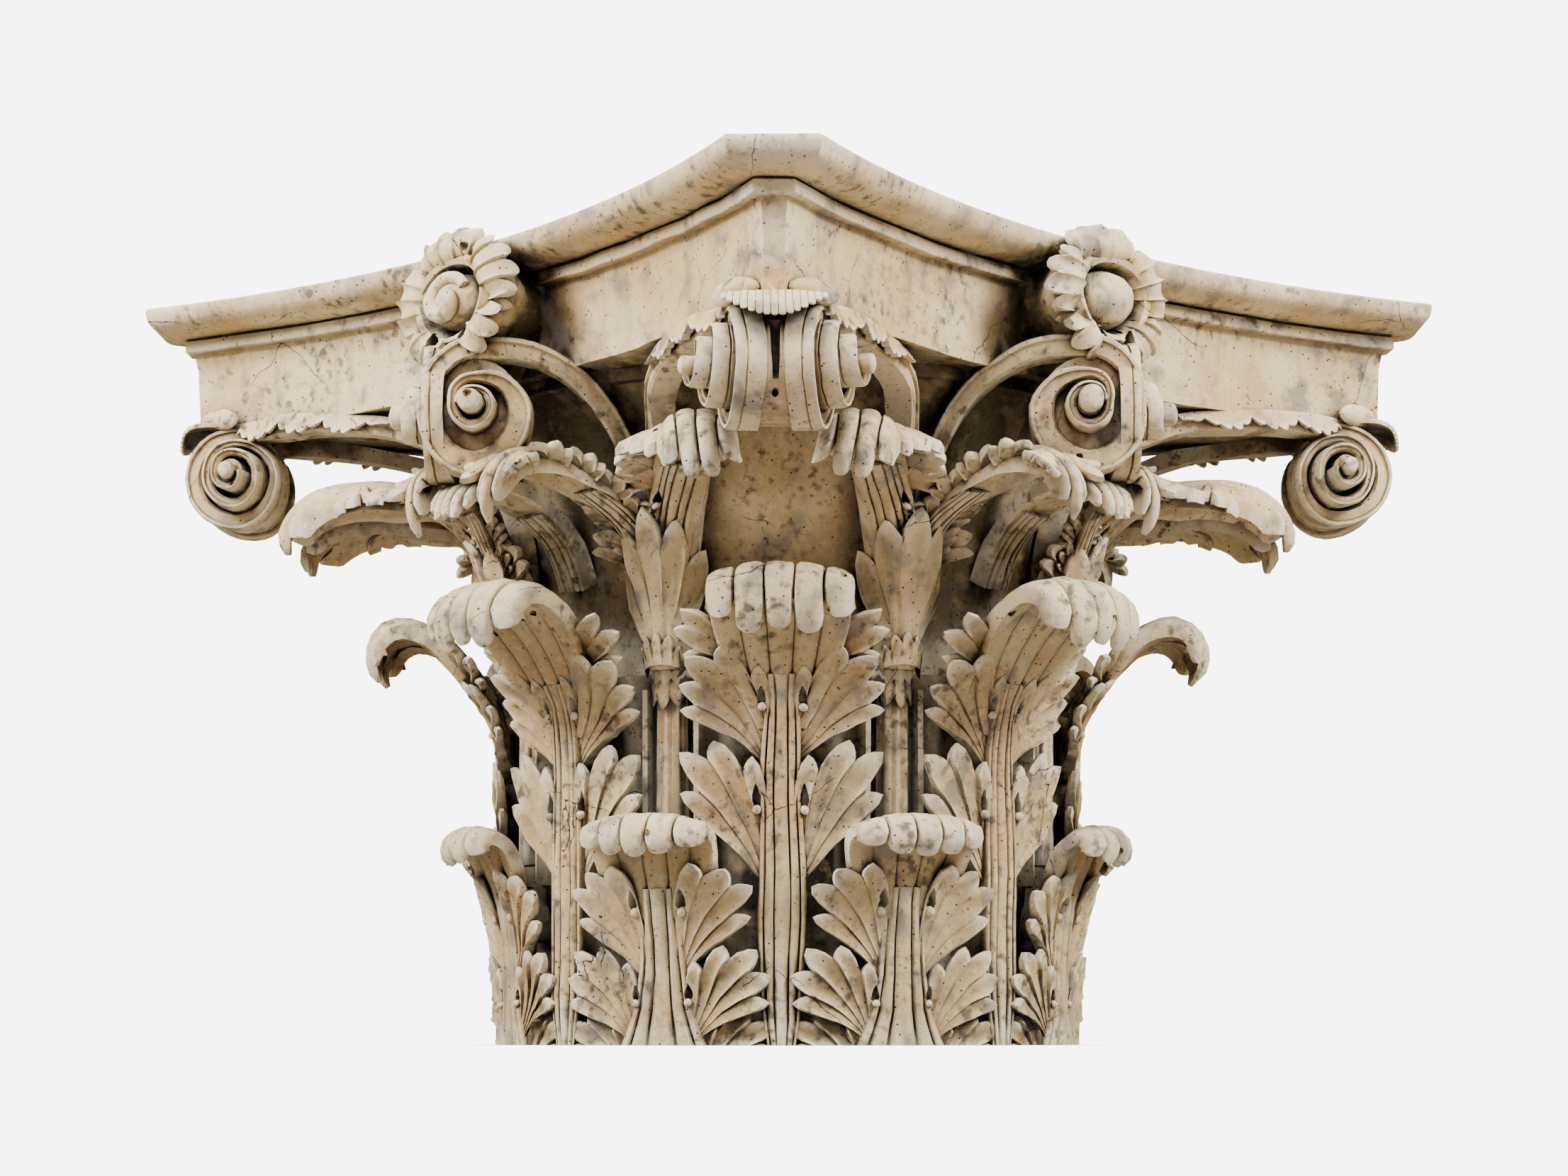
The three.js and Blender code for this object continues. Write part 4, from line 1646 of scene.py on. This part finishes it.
@dataclass(frozen=True)
class UpperBlock:
    """The upper block: bell, calyces, corner and side work, and the abacus.

    Attributes:
        slot: The record's name for its material; not used.
        node: The CAD node that it stands for.
        bell: Radius and height of each ring of the bell.
        bell_sides: Faces round the bell.
        wear: What is knocked off it.
        uneven: Picks the pattern of its unevenness.
    """

    slot: str = "aged_plaster_upper"
    node: str = "upper_block"
    bell: tuple[Pair, ...] = ((264, JOINT_HEIGHT + JOINT_GAP / 2), (266, 400), (270, 450), (277, 486),
                              (287, 526), (301, 562), (318, 594), (336, 618), (344, 619), (344, 632))
    bell_sides: int = 96
    wear: Wear = Wear(
        losses=(((615, 592, -39.6), 10), ((612, 524, -134), 9), ((460, 548, -57), 9),
                ((430, 552, -33), 9), ((520, 748, -70), 8), ((452, 748, -84), 6), ((418, 746, -86), 5),
                ((575, 748, -28), 7), ((505, 747, -21), 6), ((452, 747, -11), 5), ((610, 748, -55), 6),
                ((548, 748, -65), 5), ((600, 749, 10), 8)),
        chips=90, floor=372.0, seed=8,
    )
    uneven: int = 11

    def build(self) -> Piece:
        """Builds the block.

        Returns:
            The block as one closed shell, flat at the joint and on its top bed.
        """
        shells = [lathe(self.bell, self.bell_sides), Abacus().build()]
        shells += row_of(Calyx().build(), LEAVES_PER_ROW, HALF_STEP)
        shells += row_of(corner_leaf().build(), FACES, CORNER, both_sides=True)
        shells += row_of(side_leaf().build(), FACES, 0.0, both_sides=True)
        shells += row_of(bud_leaf().build(), FACES, 0.0)
        shells += row_of(corner_scroll().build(), FACES, CORNER, both_sides=True)
        cap = [corner_cap().build(), Hump().build(-1), Hump().build(1)]
        shells += row_of(united(cap), FACES, CORNER)
        shells += row_of(helix().build(), FACES, 0.0, both_sides=True)
        shells += row_of(corner_scroll().crest(), FACES, CORNER, both_sides=True)
        shells += row_of(corner_spool(), FACES, CORNER)
        coiled = row_of(Fleuron().build(Bud.COILED), 1, -90.0)
        rounds = row_of(Fleuron().build(Bud.ROUND), FACES, 0.0)
        discard(rounds.pop())  # the last one stands where the coiled one does
        whole = self.wear.knock(united(shells + rounds + coiled))
        return weathered(whole, MOST_TRIANGLES, self.uneven)


# ------------------------------------------------------------------ finishes


def linear(code: str) -> tuple[float, float, float, float]:
    """Turns an sRGB hex colour to linear light, fully opaque."""
    parts = [int(code[place:place + 2], 16) / 255 for place in (1, 3, 5)]
    return (*[p / 12.92 if p <= 0.04045 else ((p + 0.055) / 1.055) ** 2.4 for p in parts], 1.0)


class Graph:
    """A material's node tree, which grows by one node at a time."""

    def __init__(self, name: str):
        """Makes an empty material with its output."""
        self.material = bpy.data.materials.new(name)
        self.material.use_nodes = True
        self.tree = self.material.node_tree
        self.tree.nodes.clear()

    def add(self, kind: str, inputs: dict | None = None, **settings: object) -> bpy.types.Node:
        """Adds a node.

        Args:
            kind: The node's type.
            inputs: Values or output sockets for its inputs, by name or number.
            settings: Its own settings.

        Returns:
            The node.
        """
        node = self.tree.nodes.new(kind)
        for name, value in settings.items():
            setattr(node, name, value)
        for name, value in (inputs or {}).items():
            if isinstance(value, bpy.types.NodeSocket):
                self.tree.links.new(value, node.inputs[name])
            else:
                node.inputs[name].default_value = value
        return node


@dataclass(frozen=True)
class Cloud:
    """A soft pattern of patches.

    Attributes:
        size: Millimetres across one patch.
        low: Noise value where a patch begins to show.
        high: Noise value where it is full.
        most: How strong a full patch is.
        stretch: How much longer than wide a patch is, up and down.
        detail: How ragged its edge is.
    """

    size: float
    low: float
    high: float
    most: float = 1.0
    stretch: float = 1.0
    detail: float = 4.0

    def mask(self, graph: Graph, place: Socket) -> Socket:
        """Adds the pattern's nodes.

        Args:
            graph: The material's nodes.
            place: The point of the surface.

        Returns:
            The pattern's mask.
        """
        squeeze = (1.0, 1.0, 1.0 / self.stretch)
        drawn = graph.add("ShaderNodeMapping", {"Vector": place, "Scale": squeeze}).outputs[0]
        scale = 1.0 / (self.size * MM)
        noise = graph.add("ShaderNodeTexNoise", {"Vector": drawn, "Scale": scale, "Detail": self.detail})
        return graph.add("ShaderNodeMapRange", {0: noise.outputs[0], 1: self.low, 2: self.high,
                                                4: self.most}).outputs[0]


@dataclass(frozen=True)
class Shade:
    """How strong a colour is where the surface is shut in by what stands around it: laid by occlusion, this
    is painted shade.

    Attributes:
        reach: Millimetres over which something shuts it in.
        start: Openness where the mask begins.
        full: Openness where it is full.
        most: How strong it is there.
        samples: Rays that feel for it.
    """

    reach: float
    start: float
    full: float
    most: float = 1.0
    samples: int = 6

    def mask(self, graph: Graph) -> Socket:
        """Adds the nodes and returns the mask."""
        hollow = graph.add("ShaderNodeAmbientOcclusion", {"Distance": self.reach * MM}, samples=self.samples)
        return graph.add("ShaderNodeMapRange", {0: hollow.outputs["AO"], 1: self.start, 2: self.full,
                                                4: self.most}).outputs[0]


@dataclass(frozen=True)
class Bend:
    """How strong a colour is where the surface is bent sharply.

    Attributes:
        start: Bend where the mask begins: over a half is an edge, and under it a crease.
        full: Bend where it is full.
        most: How strong it is there.
    """

    start: float
    full: float
    most: float

    def mask(self, graph: Graph, bend: Socket) -> Socket:
        """Adds the node and returns the mask."""
        inputs = {0: bend, 1: self.start, 2: self.full, 4: self.most}
        return graph.add("ShaderNodeMapRange", inputs).outputs[0]


@dataclass(frozen=True)
class AgedPlasterWithPaintedShade:
    """Cast plaster: chalky and matt, pinholed by air in the mould, rusty brown in its creases and shut-in
    places, partly as stain and partly as painted shade, near-black in its deep hollows and crevices as
    painted shade, and rubbed pale or grey along its edges.

    Attributes:
        name: The material's name.
        body: Colour of the clean plaster, and so on for its pale and blushing patches, its
            streaks, the rusty brown of its creases and shut-in places (partly stain, partly painted
            shade), the near-black painted shade of its hollows and crevices, its rubbed edges, its
            grey bloom, its grime, its specks and its stain.
        stains: Middles of the marked stains, in millimetres.
        shift: Metres that the patterns are moved by, so that the blocks differ.
        pinhole_spacing: Millimetres between the holes. The real ones are 1 to 2 mm across.
        pinhole_size: Radius of a hole, in millimetres.
        crack_spacing: Millimetres between hairline cracks.
        crack_width: Half width of a crack, in millimetres, drawn wider than a real one to show.
        stain_size: Radius of a marked stain, in millimetres.
        roughness: Chalky plaster throws no gloss.
        specular: Its level of plain reflection.
        relief: Millimetres of relief that the bump stands for.
    """

    name: str
    body: str = "#d6b781"
    pale: str = "#ead5a4"
    blush: str = "#d3a474"
    streak: str = "#a3906f"
    rust_and_painted_shade: str = "#7b5f42"
    painted_shade: str = "#0e0b08"
    rubbed: str = "#f3e5c4"
    bloom: str = "#8b8273"
    grime: str = "#4a4036"
    speck: str = "#2c241c"
    stain: str = "#b8762f"
    stains: tuple[Triple, ...] = ()
    shift: float = 0.0

    pale_patch: Cloud = Cloud(150, 0.42, 0.6)
    blush_patch: Cloud = Cloud(55, 0.5, 0.68, 0.55)
    streaks: Cloud = Cloud(16, 0.52, 0.75, 0.5, stretch=9.0)
    mottle: Cloud = Cloud(7, 0.5, 0.72, 0.3, detail=6.0)
    # Patches where the near-black painted shade of the deep hollows shows.
    painted_shade_patch: Cloud = Cloud(26, 0.2, 0.48, detail=6.0)
    bloom_patch: Cloud = Cloud(38, 0.54, 0.66, 0.75, detail=8.0)
    grime_patch: Cloud = Cloud(11, 0.52, 0.66, 0.8, detail=10.0)
    grime_place: Cloud = Cloud(85, 0.45, 0.57)
    dust: Cloud = Cloud(3.2, 0.62, 0.72, 0.55, detail=3.0)
    grit: Cloud = Cloud(2.2, 0.2, 0.8, detail=5.0)
    dents: Cloud = Cloud(24, 0.3, 0.7, detail=3.0)
    tool_lines: Cloud = Cloud(1.1, 0.3, 0.7, stretch=60.0, detail=1.0)
    pinhole_spacing: float = 9.0
    pinhole_size: float = 0.9
    crack_spacing: float = 230.0
    crack_width: float = 0.45
    crack_place: Cloud = Cloud(90, 0.5, 0.56)
    # The next three darken by occlusion, which makes them painted shade. The first lays a rusty brown that
    # is partly stain and partly painted shade. The other two lay near-black painted shade in deep hollows
    # and in tight crevices.
    sheltered: Shade = Shade(45, 0.66, 0.2, 0.5)
    hollow: Shade = Shade(130, 0.57, 0.36)
    crevice: Shade = Shade(16, 0.6, 0.15, 0.9)
    edge: Bend = Bend(0.51, 0.58, 0.75)
    # Lays a rusty brown in creases: partly stain, partly painted shade.
    crease: Bend = Bend(0.48, 0.41, 0.6)
    stain_size: float = 62.0
    roughness: float = 0.86
    specular: float = 0.3
    relief: float = 0.18

    def pinholes(self, graph: Graph, place: Socket) -> Socket:
        """Adds the small round holes that air leaves in a cast.

        Args:
            graph: The material's nodes.
            place: The point of the surface.

        Returns:
            The holes' mask.
        """
        scale = 1.0 / (self.pinhole_spacing * MM)
        cells = graph.add("ShaderNodeTexVoronoi", {"Vector": place, "Scale": scale})
        size = self.pinhole_size / self.pinhole_spacing
        return graph.add("ShaderNodeMapRange", {0: cells.outputs["Distance"], 1: size * 1.3,
                                                2: size * 0.7}).outputs[0]

    def spot(self, graph: Graph, place: Socket, centre: Triple) -> Socket:
        """Adds one stain with a soft, ragged edge.

        Args:
            graph: The material's nodes.
            place: The point of the surface.
            centre: The stain's middle, in millimetres.

        Returns:
            The stain's mask.
        """
        wobble = graph.add("ShaderNodeTexNoise", {"Vector": place, "Scale": 25.0, "Detail": 6.0}).outputs[0]
        where = tuple(part * MM for part in centre)
        away = graph.add("ShaderNodeVectorMath", {0: place, 1: where}, operation="DISTANCE")
        ragged = graph.add("ShaderNodeMath", {0: wobble, 1: 1.1 * self.stain_size * MM,
                                              2: away.outputs["Value"]}, operation="MULTIPLY_ADD")
        edge = self.stain_size * MM
        return graph.add("ShaderNodeMapRange", {0: ragged.outputs[0], 1: edge * 1.3, 2: edge * 0.8,
                                                4: 0.8}).outputs[0]

    def cracks(self, graph: Graph, place: Socket) -> Socket:
        """Adds hairline cracks.

        Args:
            graph: The material's nodes.
            place: The point of the surface.

        Returns:
            The cracks' mask.
        """
        wobble = graph.add("ShaderNodeTexNoise", {"Vector": place, "Scale": 30.0, "Detail": 5.0}).outputs[1]
        bent = graph.add("ShaderNodeVectorMath", {0: wobble, 1: (0.02, 0.02, 0.02)}, operation="MULTIPLY")
        path = graph.add("ShaderNodeVectorMath", {0: place, 1: bent.outputs[0]}, operation="ADD").outputs[0]
        inputs = {"Vector": path, "Scale": 1.0 / (self.crack_spacing * MM)}
        cells = graph.add("ShaderNodeTexVoronoi", inputs, feature="DISTANCE_TO_EDGE")
        width = self.crack_width / self.crack_spacing
        line = graph.add("ShaderNodeMapRange", {0: cells.outputs[0], 1: width, 2: width * 0.3}).outputs[0]
        return self.both(graph, line, self.crack_place.mask(graph, place))

    def both(self, graph: Graph, first: Socket, second: Socket) -> Socket:
        """Adds the mask of what is in both of two masks, and returns it."""
        return graph.add("ShaderNodeMath", {0: first, 1: second}, operation="MULTIPLY").outputs[0]

    def colour(self, graph: Graph, layers: Sequence[tuple[Socket, str]]) -> Socket:
        """Lays colours over the body colour.

        Args:
            graph: The material's nodes.
            layers: The mask and the colour of each layer, from the lowest.

        Returns:
            The colour of the surface.
        """
        seen = graph.add("ShaderNodeRGB").outputs[0]
        seen.default_value = linear(self.body)
        for mask, code in layers:
            inputs = {0: mask, 6: seen, 7: linear(code)}
            seen = graph.add("ShaderNodeMix", inputs, data_type="RGBA").outputs[2]
        return seen

    def material(self) -> bpy.types.Material:
        """Builds the material.

        Returns:
            The material, ready for a block.
        """
        graph = Graph(self.name)
        still = graph.add("ShaderNodeTexCoord").outputs["Object"]
        place = graph.add("ShaderNodeMapping", {"Vector": still, "Location": (self.shift, 0, 0)}).outputs[0]
        bend = graph.add("ShaderNodeNewGeometry").outputs["Pointiness"]
        holes = self.pinholes(graph, place)
        cracks = self.cracks(graph, place)
        # Painted shade: near-black laid in patches in the deep hollows that occlusion finds.
        painted_shade = self.both(graph, self.hollow.mask(graph), self.painted_shade_patch.mask(graph, place))
        grime = self.both(graph, self.grime_patch.mask(graph, place), self.grime_place.mask(graph, place))
        colour = self.colour(graph, [
            (self.pale_patch.mask(graph, place), self.pale),
            (self.blush_patch.mask(graph, place), self.blush),
            (self.streaks.mask(graph, place), self.streak),
            (self.mottle.mask(graph, place), self.rubbed),
            *[(self.spot(graph, still, centre), self.stain) for centre in self.stains],
            # Rusty brown by occlusion and in creases: partly stain, partly painted shade.
            (self.sheltered.mask(graph), self.rust_and_painted_shade),
            (self.crease.mask(graph, bend), self.rust_and_painted_shade),
            # Near-black painted shade in deep hollows and tight crevices.
            (painted_shade, self.painted_shade),
            (self.crevice.mask(graph), self.painted_shade),
            (self.edge.mask(graph, bend), self.rubbed),
            (self.bloom_patch.mask(graph, place), self.bloom),
            (grime, self.grime),
            (self.dust.mask(graph, place), self.speck),
            (holes, self.speck),
            (cracks, self.speck),
        ])
        height = self.grit.mask(graph, place)
        for mask, share in ((self.dents.mask(graph, place), 6.0), (self.tool_lines.mask(graph, place), 0.6),
                            (holes, -5.0), (cracks, -5.0)):
            inputs = {0: mask, 1: share, 2: height}
            height = graph.add("ShaderNodeMath", inputs, operation="MULTIPLY_ADD").outputs[0]
        bump = graph.add("ShaderNodeBump", {"Height": height, "Strength": 0.7, "Distance": self.relief * MM})
        shader = graph.add("ShaderNodeBsdfPrincipled", {
            "Base Color": colour, "Roughness": self.roughness, "Specular IOR Level": self.specular,
            "Normal": bump.outputs[0],
        })
        graph.add("ShaderNodeOutputMaterial", {"Surface": shader.outputs[0]})
        return graph.material


# ------------------------------------------------------------------ studio


@dataclass(frozen=True)
class Softbox:
    """A soft square light that looks at the capital's middle.

    Attributes:
        name: Its name.
        bearing: Degrees to the right of the camera.
        rise: Degrees above level.
        away: Metres from the capital's middle.
        size: Metres along one side.
        power: Watts.
    """

    name: str
    bearing: float
    rise: float
    away: float
    size: float
    power: float


@dataclass(frozen=True)
class Studio:
    """Pale floor, soft lights and the camera, in metres and degrees.

    Attributes:
        azimuth: Where the camera stands, to the right of the capital's -Y side.
        away: Its distance from the capital's axis.
        eye: Its height over the floor, from where it looks level.
        lens: Its focal length in millimetres.
        sensor: Its sensor's width in millimetres.
        shift: How far its picture is shifted, as shares of the sensor's width.
        nearest: What is nearer than this isn't drawn.
        middle: Height of the capital's middle, which the lights look at.
        floor_size: Length of the floor's side.
        floor_steps: Faces along it.
        contact: How near the capital the floor is darkened by a painted contact shadow.
        backdrop: Brightness of the floor and the background as seen.
        fill: Brightness of the background as the capital is lit by it.
        softboxes: The lights.
    """

    azimuth: float = 46.0
    away: float = 3.236
    eye: float = 0.008
    lens: float = 72.26
    sensor: float = 36.0
    shift: Pair = (-0.002, 0.2864)
    nearest: float = 0.005
    middle: float = 0.4
    floor_size: float = 14.0
    floor_steps: int = 24
    contact: float = 0.09
    backdrop: float = 7.0
    fill: float = 0.26
    softboxes: tuple[Softbox, ...] = (
        Softbox("left softbox", -62, 33, 3.2, 1.0, 160),
        Softbox("right softbox", 62, 33, 3.2, 1.0, 155),
        Softbox("front softbox", -8, 50, 3.4, 1.2, 80),
    )

    def floor(self) -> None:
        """Lays the floor under the capital: plain diffuse for light that bounces off it, and to the camera
        an even glow darkened near the capital by a painted contact shadow.
        """
        deselect()
        bpy.ops.mesh.primitive_grid_add(x_subdivisions=self.floor_steps, y_subdivisions=self.floor_steps,
                                        size=self.floor_size)
        floor = bpy.context.active_object
        floor.name = "floor"
        graph = Graph("white floor with painted contact shadow")
        seen = graph.add("ShaderNodeLightPath").outputs["Is Camera Ray"]
        # Painted contact shadow: occlusion dims the floor's glow near the capital.
        near = graph.add("ShaderNodeAmbientOcclusion", {"Distance": self.contact}, samples=12).outputs["AO"]
        glow = graph.add("ShaderNodeMapRange", {0: near, 1: 0.35, 2: 1.0, 3: 0.4, 4: self.backdrop})
        white = graph.add("ShaderNodeEmission", {"Color": linear("#ffffff"), "Strength": glow.outputs[0]})
        paint = graph.add("ShaderNodeBsdfDiffuse", {"Color": linear("#8f8a82")}).outputs[0]
        shown = graph.add("ShaderNodeMixShader", {0: seen, 1: paint, 2: white.outputs[0]}).outputs[0]
        graph.add("ShaderNodeOutputMaterial", {"Surface": shown})
        floor.data.materials.append(graph.material)

    def light(self, softbox: Softbox) -> None:
        """Hangs one light.

        Args:
            softbox: What it is and where it hangs.
        """
        angle, lift = math.radians(self.azimuth + softbox.bearing), math.radians(softbox.rise)
        level = softbox.away * math.cos(lift)
        height = self.middle + softbox.away * math.sin(lift)
        place = Vector((level * math.sin(angle), -level * math.cos(angle), height))
        lamp = bpy.data.lights.new(softbox.name, "AREA")
        lamp.shape = "SQUARE"
        lamp.size = softbox.size
        lamp.energy = softbox.power
        holder = bpy.data.objects.new(softbox.name, lamp)
        holder.location = place
        holder.rotation_euler = (Vector((0, 0, self.middle)) - place).to_track_quat("-Z", "Y").to_euler()
        bpy.context.collection.objects.link(holder)

    def background(self) -> None:
        """Makes the even, pale background, which lights the capital only faintly."""
        world = bpy.data.worlds.new("studio")
        world.use_nodes = True
        tree = world.node_tree
        sky = tree.nodes["Background"]
        sky.inputs[0].default_value = linear("#ffffff")
        sight = tree.nodes.new("ShaderNodeLightPath")
        level = tree.nodes.new("ShaderNodeMapRange")
        tree.links.new(sight.outputs["Is Camera Ray"], level.inputs[0])
        level.inputs[3].default_value = self.fill
        level.inputs[4].default_value = self.backdrop
        tree.links.new(level.outputs[0], sky.inputs[1])
        bpy.context.scene.world = world

    def camera(self) -> None:
        """Stands the camera before the near corner, low down and looking level."""
        camera = bpy.data.cameras.new("camera")
        camera.lens = self.lens
        camera.sensor_width = self.sensor
        camera.shift_x, camera.shift_y = self.shift
        camera.clip_start = self.nearest
        holder = bpy.data.objects.new("camera", camera)
        azimuth = math.radians(self.azimuth)
        holder.location = (self.away * math.sin(azimuth), -self.away * math.cos(azimuth), self.eye)
        holder.rotation_euler = (math.pi / 2, 0.0, azimuth)
        bpy.context.collection.objects.link(holder)
        bpy.context.scene.camera = holder

    def build(self) -> None:
        """Sets up the studio."""
        self.floor()
        self.background()
        for softbox in self.softboxes:
            self.light(softbox)
        self.camera()


def main() -> None:
    """Builds both blocks, dresses them and sets up the studio."""
    logging.basicConfig(level=logging.INFO, format="%(name)s: %(message)s")
    # The upper block keeps the lighter default colours, raised partly to stand for the stronger light on the
    # abacus, which is painted light. The lower block's colours are darker and browner.
    lower = AgedPlasterWithPaintedShade("aged cast plaster with painted shade, lower block", body="#c2a372", pale="#d4be8e", blush="#bf8f5c",
                        stains=((322.0, -118.0, 92.0),))
    upper = AgedPlasterWithPaintedShade("aged cast plaster with painted shade, upper block", shift=3.0)
    for block, finish in ((LowerBlock(), lower), (UpperBlock(), upper)):
        piece = block.build()
        piece.name = f"{block.node}_cast"
        piece.data.materials.clear()
        piece.data.materials.append(finish.material())
        activate(piece)
        bpy.ops.object.shade_smooth_by_angle(angle=SMOOTH_ANGLE)
        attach(piece, "root")
        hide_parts(block.node)
        LOG.info("%s: %d points, %d faces", piece.name, len(piece.data.vertices), len(piece.data.polygons))
    Studio().build()


if __name__ == "__main__":
    main()
